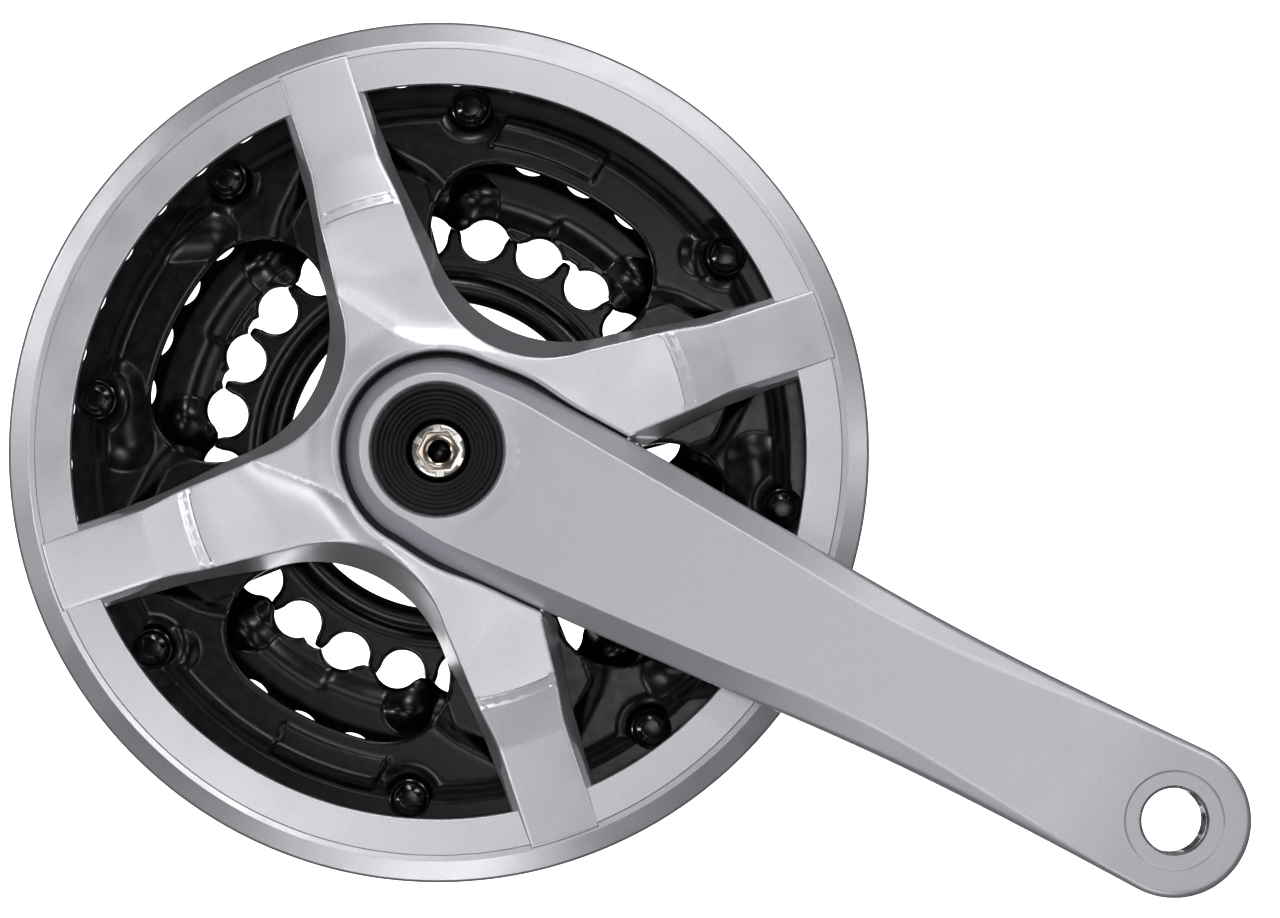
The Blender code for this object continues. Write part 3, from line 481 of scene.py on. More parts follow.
def noise(tree, scale, detail, roughness=0.55):
    """A noise over the object's own coordinates."""
    coordinates = tree.nodes.new('ShaderNodeTexCoord')
    node = tree.nodes.new('ShaderNodeTexNoise')
    set_inputs(node, Scale=scale, Detail=detail, Roughness=roughness)
    tree.links.new(coordinates.outputs["Object"], node.inputs["Vector"])
    return node


def tint(tree, shader, source, low, high, low_colour, high_colour):
    """Run the base colour from one colour to another as a noise goes from low to high."""
    node = tree.nodes.new('ShaderNodeValToRGB')
    ends = ((low, low_colour), (high, high_colour))
    for element, (position, colour) in zip(node.color_ramp.elements, ends):
        element.position = position
        element.color = (*colour, 1.0)
    tree.links.new(source.outputs["Fac"], node.inputs["Fac"])
    tree.links.new(node.outputs["Color"], shader.inputs["Base Color"])


def gloss(tree, shader, source, low, high, new_low, new_high):
    """Run the roughness from one value to another as a noise goes from low to high."""
    node = tree.nodes.new('ShaderNodeMapRange')
    set_inputs(node, From_Min=low, From_Max=high, To_Min=new_low, To_Max=new_high)
    tree.links.new(source.outputs["Fac"], node.inputs["Value"])
    tree.links.new(node.outputs["Result"], shader.inputs["Roughness"])


def bump(tree, shader, source, strength, distance, previous=None):
    node = tree.nodes.new('ShaderNodeBump')
    set_inputs(node, Strength=strength, Distance=distance)
    tree.links.new(source.outputs["Fac"], node.inputs["Height"])
    if previous:
        tree.links.new(previous.outputs["Normal"], node.inputs["Normal"])
    tree.links.new(node.outputs["Normal"], shader.inputs["Normal"])
    return node


def silver_paint(name, dark, light, metallic, roughness):
    """Satin silver paint: fine metal flakes in a clear film, slightly lavender."""
    material, tree, shader = new_material(name)
    flakes = noise(tree, 5200.0, 2.0, 0.7)
    film = noise(tree, 90.0, 3.0)
    tint(tree, shader, flakes, 0.32, 0.68, dark, light)
    gloss(tree, shader, film, 0.3, 0.7, roughness - 0.03, roughness + 0.04)
    set_inputs(shader, Metallic=metallic, Coat_Weight=0.12, Coat_Roughness=0.28)
    bump(tree, shader, flakes, 0.10, 0.00005)
    return material


def black_coat(name, roughness):
    """Black electro-coat on pressed steel: semi-gloss with a faint mottled orange peel."""
    material, tree, shader = new_material(name)
    cloud = noise(tree, 420.0, 5.0, 0.62)
    peel = noise(tree, 1500.0, 2.0)
    tint(tree, shader, cloud, 0.42, 0.70, (0.0012, 0.0012, 0.0013), (0.006, 0.006, 0.006))
    gloss(tree, shader, cloud, 0.35, 0.7, roughness - 0.03, roughness + 0.03)
    set_inputs(shader, Specular_IOR_Level=0.45)
    first = bump(tree, shader, cloud, 0.03, 0.0002)
    bump(tree, shader, peel, 0.05, 0.00006, first)
    return material


def bright_steel(name, dark, light):
    """Bright plated steel with faint clouds in its plating; given dark colours it also makes the painted
    shade inside the bolt.
    """
    material, tree, shader = new_material(name)
    cloud = noise(tree, 1800.0, 3.0)
    tint(tree, shader, cloud, 0.3, 0.75, dark, light)
    gloss(tree, shader, cloud, 0.3, 0.7, 0.20, 0.24)
    set_inputs(shader, Metallic=1.0)
    return material


def cap_resin(name):
    """Matt black moulded resin."""
    material, tree, shader = new_material(name)
    grain = noise(tree, 3800.0, 2.0)
    cloud = noise(tree, 260.0, 3.0)
    tint(tree, shader, cloud, 0.3, 0.8, (0.013, 0.013, 0.014), (0.023, 0.023, 0.024))
    gloss(tree, shader, grain, 0.3, 0.7, 0.42, 0.56)
    set_inputs(shader, Specular_IOR_Level=0.35)
    bump(tree, shader, grain, 0.15, 0.00006)
    return material


# chainrings

def tooth_outline(teeth, phase, tip_rise, tip_half_width, spacing):
    """Outline of a chainring: a round chain seat at each pitch point and a rounded tip between seats."""
    pitch_radius = CHAIN_PITCH / (2 * sin(pi / teeth))
    step = 360.0 / teeth
    tip_radius = pitch_radius + tip_rise
    tip_angle = degrees(tip_half_width / tip_radius)
    seat = arc((pitch_radius, 0.0), GULLET_RADIUS, 265, 95, 20)
    points = []
    for k in range(teeth):
        angle = phase + k * step
        points += rotate_points(seat, angle)
        next_start = rotate_points(seat, angle + step)[0]
        tips = [polar(tip_radius, angle + step / 2 + turn) for turn in (-tip_angle, tip_angle)]
        flank = fillet([points[-1], *tips, next_start], [0, 0.7, 0.7, 0], 3)
        points += densify(flank, spacing, closed=False)[1:-1]
    return points


def quarter_window(outer_radius, corner_radius, arm_half_width, axis):
    """Outer side of a window, from one ring arm to the next, as points about the origin."""
    centre_distance = outer_radius - corner_radius
    centre_angle = 45.0 - degrees(asin((arm_half_width + corner_radius) / centre_distance))
    centre = polar(centre_distance, centre_angle)
    corner_steps = max(int(corner_radius * 2.4), 10)
    lower = arc((centre[0], -centre[1]), corner_radius, -135, -centre_angle, corner_steps)
    upper = arc(centre, corner_radius, centre_angle, 135, corner_steps)
    middle = arc((0, 0), outer_radius, -centre_angle, centre_angle, 60)[1:-1]
    return rotate_points(lower + middle + upper, axis)


def ring_window(outer_radius, corner_radius, hub_radius, hub_corner, axis):
    """Closed window between two arms of a ring that has a hub."""
    hub_distance = hub_radius + hub_corner
    hub_angle = 45.0 - degrees(asin((RING_ARM_HALF_WIDTH + hub_corner) / hub_distance))
    inner = arc(polar(hub_distance, hub_angle), hub_corner, 135, 180 + hub_angle, 8)
    inner += arc((0, 0), hub_radius, hub_angle, -hub_angle, 12)[1:-1]
    inner += arc(polar(hub_distance, -hub_angle), hub_corner, 180 - hub_angle, 225, 8)
    outer = quarter_window(outer_radius, corner_radius, RING_ARM_HALF_WIDTH, 0)
    return rotate_points(outer + inner, axis)


def ring_recess(x, z):
    """1 on the recessed toothed band of the outer ring, 0 on its raised flat."""
    past_step = np.hypot(x, z) - 74.0
    for angle in PIN_ANGLES:
        px, pz = polar(PIN_CIRCLE, angle)
        past_step = np.maximum(past_step, 5.6 - np.hypot(x - px, z - pz))
    return rolled(-2.6, 1.6, past_step)


def rolled(low, high, value):
    """0 at low and 1 at high, rounded where it starts and creased where it ends."""
    return 1 - np.cos(np.clip((value - low) / (high - low), 0.0, 1.0) * pi / 2)


def box_bump(value, low, high, soft):
    return smoothstep(low, low + soft, value) * (1 - smoothstep(high - soft, high, value))


def streak(x, z, start, end, half_width, height):
    """A pressed ridge between two points."""
    ax, az = start
    bx, bz = end
    length = hypot(bx - ax, bz - az)
    along = ((x - ax) * (bx - ax) + (z - az) * (bz - az)) / length
    across = ((x - ax) * (bz - az) - (z - az) * (bx - ax)) / length
    beyond = np.maximum(np.maximum(-along, along - length), 0.0)
    distance = np.hypot(across, beyond)
    return height * np.cos(np.clip(distance / half_width, 0.0, 1.0) * pi / 2)


def outer_ring_front(x, z):
    """Outboard surface of the outer ring: raised flat, recessed toothed band, pads and ramps."""
    r = np.hypot(x, z)
    angle = np.degrees(np.arctan2(z, x)) % 360.0
    y = OUTER_Y - 0.6 + 1.7 * ring_recess(x, z)
    for pad_start in (87.0, 267.0):
        along = box_bump((angle - pad_start) * r * pi / 180, 0.0, 24.5, 1.0)
        y = y - 0.8 * along * box_bump(r, 66.8, 75.4, 1.3)
    square = np.maximum(np.abs(x), np.abs(z))
    diagonal = 1 - smoothstep(0.0, 26.0, np.abs(np.abs(x) - np.abs(z)) - 6.0)
    y = y + 1.5 * rolled(-55.6, -51.4, -square) * np.clip(diagonal * 3, 0, 1)
    for half_turn in (1, -1):
        for ridge in OUTER_RIDGES:
            y = y - streak(x * half_turn, z * half_turn, *ridge)
    return y


def build_outer_ring():
    outline = tooth_outline(42, 2.9, 3.0, 1.3, RING_SPACING)
    holes = [densify(ring_window(64.3, 14.0, 27.0, 4.0, axis), RING_SPACING) for axis in AXES]
    holes += [circle((0, 0), 17.6, RING_SPACING)]
    holes += hole_circle(PIN_CIRCLE, 2.2, PIN_ANGLES)
    holes += hole_circle(SCREW_CIRCLE, 1.8)
    holes += hole_circle(RING_RIVET_CIRCLE, 2.8)
    return plate("outer_ring_pressing", outline, holes, (18.0, 88.0, RING_SPACING), outer_ring_front)


def middle_ring_front(x, z):
    """Outboard surface of the middle ring: flat outside, stepped down beside its windows."""
    r = np.hypot(x, z)
    side = np.where(np.abs(z) >= np.abs(x), -x * np.sign(z), z * np.sign(x))
    step_radius = 55.7 - 0.8 * np.tanh(side / 0.8)
    y = MIDDLE_Y - 0.5 + 2.0 * rolled(-2.8, 3.2, step_radius - r)
    y = y + 1.2 * smoothstep(62.6, 65.8, r)
    for turn in AXES:
        c, s = polar(1.0, turn)
        for ridge in MIDDLE_RIDGES:
            y = y - streak(x * c + z * s, z * c - x * s, *ridge)
    return y


def scalloped_edge(axis, tab_depths):
    """Outer side of a middle ring window: chain-clearance scallops, with tabs between them."""
    points = []
    scallop_centre, scallop_radius = 47.3, 5.0
    for k, depth in zip(range(-2, 3), tab_depths + (None,)):
        start = 0.0 if k == -2 else -58.0
        end = 0.0 if k == 2 else 58.0
        scallop = rotate_points(arc((scallop_centre, 0.0), scallop_radius, start, end, 22), 15.0 * k)
        if k in (-2, 2):
            scallop = [p for p in scallop if (p[0] - abs(p[1])) / 2 ** 0.5 > RING_ARM_HALF_WIDTH + 0.5]
        points += scallop
        if depth:
            middle = 15.0 * k + 7.5
            points += arc((0, 0), depth, middle - 1.0, middle + 1.0, 3)
    return rotate_points(points, axis)


def ear_end(half_width, axis, steps):
    """Rounded end of the ear that follows a window and carries an inner ring rivet."""
    return arc(polar(23.5 + half_width, axis + 45), half_width, axis + 315, axis + 135, steps)


def middle_opening():
    """The middle ring's opening: four windows joined round the ears that carry the rivets."""
    points = []
    plain, tab = 50.8, 49.2
    for axis in AXES:
        middle_tab = tab if axis in (90, 270) else plain
        points += scalloped_edge(axis, (tab, plain, middle_tab, tab))
        points += ear_end(RING_ARM_HALF_WIDTH, axis, 40)
    return fillet(points, 0.35, 2, closed=True)


def standoff(name, centre):
    """A pressed standoff of the middle ring: a cup with a flat top and a rivet hole in it."""
    front, back = -11.7, -5.4
    outer, inner = 7.4, 5.6
    top = front + RING_THICKNESS
    foot = outer + 1.2
    profile = [(RIVET_HOLE_RADIUS, front), (outer - 0.9, front), (outer, back), (foot, back + 0.2),
               (foot, back + 1.8), (inner, back + 2.0), (inner - 0.9, top), (RIVET_HOLE_RADIUS, top)]
    radii = (0.1, 1.0, 0.8, 0.2, 0.2, 0.8, 0.8, 0.1)
    return turned(name, fillet(profile, radii, closed=True), SMALL_ROUND, centre)


def build_middle_ring():
    outline = tooth_outline(34, 4.6, 2.6, 1.2, RING_SPACING)
    holes = [densify(middle_opening(), RING_SPACING)]
    holes += hole_circle(INNER_RIVET_CIRCLE, RIVET_HOLE_RADIUS)
    holes += hole_circle(RING_RIVET_CIRCLE, 6.4)
    ring = plate("middle_ring_pressing", outline, holes, (22.0, 72.0, RING_SPACING), middle_ring_front)
    places = [polar(RING_RIVET_CIRCLE, angle) for angle in QUADRANTS]
    join(ring, [standoff(f"standoff_{i}", place) for i, place in enumerate(places)])
    return ring


def inner_ring_front(x, z):
    """Outboard surface of the inner ring: a rounded bead and a scribed line inside the teeth."""
    r = np.hypot(x, z)
    bead = np.sqrt(np.clip(1 - ((r - 36.8) / 3.2) ** 2, 0, 1))
    line = np.exp(-((r - 42.0) / 0.25) ** 2)
    dish = 1 - smoothstep(38.5, 41.5, r)
    return INNER_Y + 0.1 * line + 0.4 * dish - 2.0 * bead


def build_inner_ring():
    spacing = 0.5
    outline = tooth_outline(24, 1.3, 1.8, 0.9, spacing)
    points = []
    half_width = 7.0
    for axis in AXES:
        points += quarter_window(34.0, 2.5, half_width, axis)
        points += ear_end(half_width, axis, 30)
    holes = [densify(points, spacing)]
    holes += hole_circle(INNER_RIVET_CIRCLE, RIVET_HOLE_RADIUS)
    return plate("inner_ring_pressing", outline, holes, (22.0, 52.0, spacing), inner_ring_front)


# crank arm

def arm_width(x, column):
    return smooth_table([(station[0], station[column]) for station in ARM_STATIONS], x)


def boss_radius(angle_degrees):
    return 19.9 + 0.4 * abs(sin(radians(angle_degrees))) ** 8


def arm_front_y(x):
    """Outboard face of the arm: level at the boss and at the eye, sloping outboard between them."""
    start, end = 10.0, 160.0
    start_soft, end_soft = 3.0, 8.0
    total = EYE_FACE_Y - BOSS_FACE_Y
    slope = total / (end - start)
    rise = slope * (x - start)
    if x < start + start_soft:
        t = max(x - start + start_soft, 0.0)
        rise = slope * t * t / (4 * start_soft)
    if x > end - end_soft:
        t = max(end + end_soft - x, 0.0)
        rise = total - slope * t * t / (4 * end_soft)
    return BOSS_FACE_Y + rise


def arm_back_y(x):
    return straight_table(ARM_BACK, x)


def arm_section(face, half, drop, front_y, back_y, crease):
    """Half of the arm's section as (distance from the centre line, y), front to back."""
    chamfer = 2.2
    points = [(0.0, front_y), (face, front_y), (half, front_y + drop), (half, back_y - chamfer),
              (half - chamfer, back_y), (0.0, back_y)]
    rounded = fillet(points, [0, crease, 1.3 + 0.4 * crease, 1.6, 1.6, 0], 6)[1:-1]
    rungs = 8
    face_row = [(rounded[0][0] * i / rungs, front_y) for i in range(rungs)]
    back_row = [(rounded[-1][0] * (rungs - i) / rungs, back_y) for i in range(1, rungs + 1)]
    return face_row + rounded + back_row


def arm_side(x):
    crease = 0.9 + 3.0 * smoothstep(70.0, 125.0, x) - 2.2 * smoothstep(130.0, 160.0, x)
    return arm_section(*(arm_width(x, column) for column in (1, 2, 3)), arm_front_y(x), arm_back_y(x), crease)


def boss_side(angle):
    face = 16.8 - 0.4 * sin(radians(angle)) ** 2
    return arm_section(face, boss_radius(angle), 5.2, BOSS_FACE_Y, arm_back_y(0), 0.9)


def arm_sections():
    """(centre x, outward direction, section) all the way round the arm."""
    half_turn = [180 * i / 64 for i in range(1, 64)]
    xs = [CRANK_LENGTH * i / 150 for i in range(151)]
    sections = [(0.0, polar(1.0, 90 + turn), boss_side(90 + turn)) for turn in half_turn]
    sections += [(x, (0.0, -1.0), arm_side(x)) for x in xs]
    sections += [(CRANK_LENGTH, polar(1.0, turn - 90), arm_side(CRANK_LENGTH)) for turn in half_turn]
    sections += [(x, (0.0, 1.0), arm_side(x)) for x in reversed(xs)]
    return sections


def square_taper():
    """Cutter for the spindle's tapered square hole, set as a diamond to the arm."""
    growth = (TAPER_INNER - TAPER_OUTER) / TAPER_LENGTH
    corner = 1.6
    rows = []
    for y in (-TAPER_LENGTH - 1.0, 1.0):
        half = (TAPER_INNER + growth * y) / 2
        points = []
        for quadrant in AXES:
            points += rotate_points(arc((half - corner, half - corner), corner, 0, 90, 8), quadrant)
        rows.append([(x, y, z) for x, z in rotate_points(points, 45)])
    return prism("square_taper_cutter", rows)


def saw(turns):
    """A symmetric thread's height from 0 to 1, with flattened crests and roots."""
    t = np.abs((turns % 1.0) * 2 - 1)
    return np.clip((t - 0.12) / 0.76, 0, 1)


def arm_forging():
    """The arm's outer skin, lofted through its sections."""
    sections = arm_sections()
    count, rows = len(sections), len(sections[0][2])
    verts = []
    for centre_x, (dx, dz), section in sections:
        verts += [(centre_x + dx * u, y, dz * u) for u, y in section]
    faces = []
    for k in range(count):
        here, there = k * rows, (k + 1) % count * rows
        faces += [(here + j, here + j + 1, there + j + 1, there + j) for j in range(rows - 1)]
    arm = make_object("crank_arm_forging", verts, faces)
    bm = bmesh.new()
    bm.from_mesh(arm.data)
    bmesh.ops.dissolve_degenerate(bm, dist=1e-3, edges=bm.edges)
    bm.to_mesh(arm.data)
    bm.free()
    return arm


def shape_boss(arm):
    """Add the stepped tail that the guard and rings sit on, and cut the bore and the square hole."""
    tail = [(0.0, 0.0), (16.8, 0.0), (16.8, -10.3), (19.2, -10.6), (19.2, -11.7), (17.3, -11.7),
            (17.3, -14.3), (19.6, -14.3), (19.6, -22.0), (0.0, -22.0)]
    radii = (0, 0.8, 0.3, 0.5, 0.3, 0.3, 0.3, 0.4, 0, 0)
    combine(arm, turned("boss_tail", fillet(tail, radii)), 'UNION')
    floor_y = -TAPER_LENGTH
    bore = [(0.0, -40.0), (24.0, -40.0), (24.0, BOSS_FACE_Y - 3.0), (16.2, BOSS_FACE_Y + 0.03),
            (14.8, BOSS_FACE_Y + 0.03), (BOSS_BORE_RADIUS, BOSS_FACE_Y + 0.4), (BOSS_BORE_RADIUS, -27.4),
            (11.4, -27.4), (11.0, -27.0), (11.0, floor_y), (0.0, floor_y)]
    combine(arm, turned("boss_bore_cutter", bore))
    combine(arm, square_taper())


def shape_eye(arm):
    """Cut the spot face and the threaded pedal hole, 9/16 inch with 20 threads to the inch."""
    spot = EYE_FACE_Y + 0.4
    eye = (CRANK_LENGTH, 0.0)
    seat = [(0.0, -50.0), (10.7, -50.0), (10.7, EYE_FACE_Y - 0.02), (10.4, spot - 0.1), (10.25, spot),
            (0.0, spot)]
    combine(arm, turned("spot_face_cutter", seat, centre=eye))
    pitch = 25.4 / 20
    first, last = spot + 0.5, -31.8

    def internal(turns, y):
        fade = min((y - first) / 0.6, (last - y) / 0.6, 1.0)
        return PEDAL_THREAD_RADIUS + 0.5 * max(fade, 0.0) * saw(y / pitch - turns)

    mouth = [(0.0, spot - 1.5), (7.8, spot - 1.5), (7.5, spot - 0.12), (7.42, spot + 0.02)]
    back_mouth = [(7.5, -31.0), (8.5, -30.2), (0.0, -30.2)]
    rows = np.arange(first, last, pitch / 8)
    hole = threaded("pedal_thread_cutter", internal, rows, eye, (mouth, back_mouth))
    combine(arm, hole)


def build_arm():
    arm = arm_forging()
    shape_boss(arm)
    shape_eye(arm)
    finish_edges(arm, 30.0)
    return arm


# chain guard

def opening_outline():
    """Half of the guard's opening round the arm, as (x, z) points with z above zero."""
    gap = 1.3
    points = [polar(boss_radius(angle) + gap, angle) for angle in range(180, 90, -3)]
    points += [(x, arm_width(x, 2) + gap - 0.85 * smoothstep(9.0, 24.0, x)) for x in range(60)]
    return points


OPENING = sorted((degrees(atan2(z, x)), hypot(x, z)) for x, z in opening_outline())


def opening_radius(angle_degrees):
    """Distance from the axis to the edge of the opening in one direction."""
    folded = abs((angle_degrees + 180.0) % 360.0 - 180.0)
    return straight_table(OPENING, folded)


def fillet_point(window, turn_degrees):
    """Point of a window's fillet arc, turned from its vertex, with the window's axis along +X."""
    vertex, radius = window
    x, z = polar(radius, turn_degrees)
    return (vertex + radius - x, z)


def window_side(window, spoke, from_opening):
    """One side of a window from the hub to the rim, with the window's axis along +X."""
    arc_steps, side_steps = 44, 84
    start_radius, half = spoke[0]
    x, z = polar(start_radius, 45.0 - degrees(asin(half / start_radius)))
    last_turn = degrees(atan2(z, sum(window) - x))
    first_turn = 0.0
    x, z = fillet_point(window, first_turn)
    while from_opening and hypot(x, z) < opening_radius(degrees(atan2(z, x))):
        first_turn += 0.05
        x, z = fillet_point(window, first_turn)
    turns = [first_turn + (last_turn - first_turn) * i / arc_steps for i in range(arc_steps)]
    points = [fillet_point(window, turn) for turn in turns]
    for i in range(side_steps + 1):
        radius = start_radius + (SPOKE_END_RADIUS - start_radius) * i / side_steps
        half = smooth_table(spoke, radius) if radius < 65.0 else straight_table(spoke, radius)
        points.append(polar(radius, 45.0 - degrees(asin(half / radius))))
    return points


def web_outline(window, spoke):
    """Closed outline of the guard's hub and spokes, a C round the boss that is open towards +X."""
    plain = window_side(window, spoke, False)
    beside_arm = window_side(window, spoke, True)
    mirrored = [(x, -z) for x, z in plain]
    end_angle = degrees(atan2(plain[-1][1], plain[-1][0]))
    points = list(beside_arm)
    for axis in AXES:
        points += arc((0, 0), SPOKE_END_RADIUS, axis + end_angle, axis + 90 - end_angle, 24)[1:-1]
        if axis < 270:
            points += rotate_points(mirrored[::-1], axis + 90)
            points += rotate_points(plain, axis + 90)[1:]
    points += [(x, -z) for x, z in reversed(beside_arm)]
    corner = degrees(atan2(beside_arm[0][1], beside_arm[0][0]))
    count = 300
    for i in range(1, count):
        angle = 360 - corner - (360 - 2 * corner) * i / count
        points.append(polar(opening_radius(angle), angle))
    return points


def crease_drop(x, z):
    """How far a spoke's surface falls away past the crease beside the hub's pad."""
    past = np.maximum(np.abs(z) - straight_table(HUB_CREASE, x), 0.0)
    depth = 1.15 * (1 - smoothstep(-12.0, 16.0, x))
    fade_out = 1 - smoothstep(8.0, 20.0, past)
    return depth * (1 - np.exp(-past / 3.2)) * (0.55 + 0.45 * fade_out)


def web_front(x, z):
    """Outboard surface of the hub and spokes."""
    r = np.hypot(x, z)
    y = straight_table(WEB_PROFILE, r) + crease_drop(x, z) * (1 - smoothstep(38.0, 54.0, r))
    angle = np.abs((np.degrees(np.arctan2(z, x)) + 180.0) % 360.0 - 180.0)
    edge = r - straight_table(OPENING, angle)
    lip = np.clip(1 - edge / 1.5, 0.0, 1.0)
    pad_rise = 0.45 * (1 - smoothstep(1.0, 7.0, edge)) * (1 - smoothstep(5.0, 25.0, x))
    return y - pad_rise + 1.3 * (1 - np.sqrt(np.clip(1 - lip ** 2, 0, 1)))


def web_lines():
    """Lines that the web's mesh follows: the steps and folds across its spokes, and the hub's creases."""
    lines = []
    for spoke_angle in QUADRANTS:
        for r, _ in WEB_PROFILE[2:7]:
            half = degrees(asin((straight_table(SPOKE_FRONT, r) - 1.6) / r))
            lines.append(arc((0, 0), r, spoke_angle - half, spoke_angle + half, 24))
    for sign in (1, -1):
        crease = [(x, sign * z) for x, z in ((-29.6, 19.3),) + HUB_CREASE[1:6]]
        lines.append(densify(crease, 0.7, closed=False))
    return lines


def nearest(places, points):
    """Index of the place nearest to each point."""
    tree = search_tree(places)
    return [tree.find((x, z, 0.0))[1] for x, z in points]


def guard_web():
    """The guard's hub and spokes: a shaped front, a flat back, and walls that lean out towards the back."""
    front_outline = web_outline(WINDOW_FRONT, SPOKE_FRONT)
    back_outline = web_outline(WINDOW_BACK, SPOKE_BACK)
    rows = ((0.0, 0.5), (0.12, 0.22), (0.32, 0.05), (0.6, 0.0), (1.0, 0.0), (1.45, 0.0))
    places, triangles, drop = region(front_outline, [], polar_fill(20.0, 88.5, 0.75), rows, web_lines())
    x, z = places.T
    front = np.stack([x, web_front(x, z) + drop, z], 1)
    flat, back_triangles, _ = region(back_outline, [], polar_fill(20.0, 88.5, 2.5), ((0.0, 0.0), (0.5, 0.0)))
    back = np.stack([flat[:, 0], np.full(len(flat), GUARD_BACK_Y), flat[:, 1]], 1)

    front_loop = nearest(places, front_outline)
    back_loop = nearest(flat, back_outline)
    shoulder = []
    for top, bottom in zip(front[front_loop], back[back_loop]):
        straight = 1.0 / (bottom[1] - top[1])
        reach = straight + (0.62 - straight) * smoothstep(60.0, 74.0, hypot(top[0], top[2]))
        x, _, z = top + (bottom - top) * reach
        shoulder.append((x, top[1] + 1.0, z))

    first_shoulder = len(front) + len(back)
    faces = [tuple(t) for t in triangles] + [tuple(t[::-1] + len(front)) for t in back_triangles]
    count = len(front_loop)
    for i in range(count):
        j = (i + 1) % count
        upper = (first_shoulder + i, first_shoulder + j)
        faces.append((front_loop[j], front_loop[i], *upper))
        faces.append((*reversed(upper), back_loop[i] + len(front), back_loop[j] + len(front)))
    return make_object("chain_guard_moulding", np.concatenate([front, back, shoulder]), faces)


def build_guard():
    guard = guard_web()
    front = GUARD_FRONT_Y
    rim = [(RIM_INNER_RADIUS, front + 2.4), (RIM_INNER_RADIUS + 0.1, front), (86.9, front + 0.38),
           (87.15, front + 0.62), (88.4, front + 0.75), (92.5, front + 2.9), (GUARD_RADIUS, front + 3.5),
           (92.7, -15.6), (90.8, -15.6), (90.8, -19.9), (88.2, -21.2), (81.6, -21.3)]
    radii = (0.3, 0.4, 0.05, 0.1, 0.5, 0.5, 0.4, 0.4, 0.3, 1.2, 0.8, 0.6)
    combine(guard, turned("guard_rim", fillet(rim, radii, closed=True), 360), 'UNION')
    post = fillet([(1.9, -14.3), (4.4, -14.3), (4.6, -18.4), (1.9, -18.4)], 0.3, 3, closed=True)
    for i, angle in enumerate(QUADRANTS):
        combine(guard, turned(f"guard_post_{i}", post, SMALL_ROUND, polar(SCREW_CIRCLE, angle)), 'UNION')
    finish_edges(guard, 34.0)
    return guard


# small turned pieces

def dome(radius, base_y, tip_y, steps=8):
    """Points of a domed head from its rim to the axis."""
    angles = [pi / 2 * i / steps for i in range(steps)]
    return [(radius * cos(a), base_y + (tip_y - base_y) * sin(a)) for a in angles] + [(0.0, tip_y)]


def set_rivet(name, centre, front_y, back_y, tail):
    """A rivet: domed front head, shank and a domed tail of its own radius."""
    shank, head, height = 2.6, 4.6, 1.8
    front_y -= 0.3
    back_y += 0.3
    front = dome(head, front_y, front_y - height)[::-1]
    profile = front + [(shank, front_y), (shank, back_y)] + dome(tail, back_y, back_y + height)
    return turned(name, profile, SMALL_ROUND, centre)


def shift_pin(name, centre):
    """A pin pressed into the outer ring: a stepped round head outboard, a catch inboard."""
    y = OUTER_Y - 0.3
    head = [(0.0, y - 2.2), (2.0, y - 2.1), (3.3, y - 1.55), (3.9, y - 0.6), (4.3, y - 0.45), (4.5, y),
            (2.0, y), (2.0, y + 2.6), (3.2, y + 2.6), (3.2, y + 4.2), (2.7, y + 4.6), (0.0, y + 4.6)]
    radii = (0, 1.0, 1.0, 0.4, 0.2, 0.1, 0.1, 0.1, 0.2, 0.3, 0.3, 0)
    return turned(name, fillet(head, radii), SMALL_ROUND, centre)


def guard_screw(name, centre):
    """A pan-head screw driven from behind, with a cross recess."""
    seat = OUTER_Y + RING_THICKNESS + 0.3
    top = seat + 1.9
    shank = 1.6
    profile = [(0.0, -21.0), (1.0, -21.0), (shank, -20.0), (shank, seat), (3.6, seat), (3.6, seat + 1.1),
               (2.7, top), (0.0, top)]
    screw = turned(name, fillet(profile, (0, 0.2, 0.3, 0.1, 0.2, 0.5, 0.5, 0), 4), SMALL_ROUND, centre)
    for turn in (45.0, 135.0):
        rows = []
        for x, z, y in ((1.9, 0.35, seat + 2.5), (0.8, 0.25, seat + 0.6)):
            corners = rotate_points([(-x, -z), (x, -z), (x, z), (-x, z)], turn)
            rows.append([(centre[0] + px, y, centre[1] + pz) for px, pz in corners])
        combine(screw, prism("cross_cutter", rows))
    finish_edges(screw)
    return screw


def build_bolt():
    """M8 x 1 bolt with a round flanged head and an 8 mm hexagon socket."""
    start, end = -14.2, 4.4

    def external(turns, y):
        fade = min((end - y) / 1.2, (y - start) / 0.8, 1.0)
        return 3.4 + 0.52 * max(fade, 0.0) * saw(y - turns) + 0.04

    head = [(0.0, -22.9), (5.6, -22.9), (5.7, -22.86), (6.14, -22.42), (6.2, -22.3), (6.2, -19.9),
            (6.35, -19.72), (8.0, -18.95), (8.2, -18.75), (8.2, -17.6), (8.0, -17.4), (4.15, -17.4),
            (3.95, -17.2), (3.95, -14.5)]
    rows = np.arange(start, end, 0.125)
    bolt = threaded("crank_bolt_body", external, rows, (0.0, 0.0), (head, [(2.9, 4.5), (0.0, 4.5)]))
    corner = 8.0 / 2 / cos(pi / 6)
    mouth = corner + 0.12
    rows = []
    for radius, y in ((mouth, -24.0), (mouth, -22.95), (corner, -22.7), (corner, -18.8)):
        rows.append([(x, y, z) for x, z in [polar(radius, 30 + 60 * i) for i in range(6)]])
    combine(bolt, prism("hex_cutter", rows))
    pilot = [(0.0, -20.2), (3.9, -20.2), (3.9, -18.85), (2.55, -18.3), (2.4, -18.1), (2.4, -8.5), (0.0, -7.5)]
    combine(bolt, turned("pilot_cutter", pilot, SMALL_ROUND))
    finish_edges(bolt, 26.0)
    return bolt


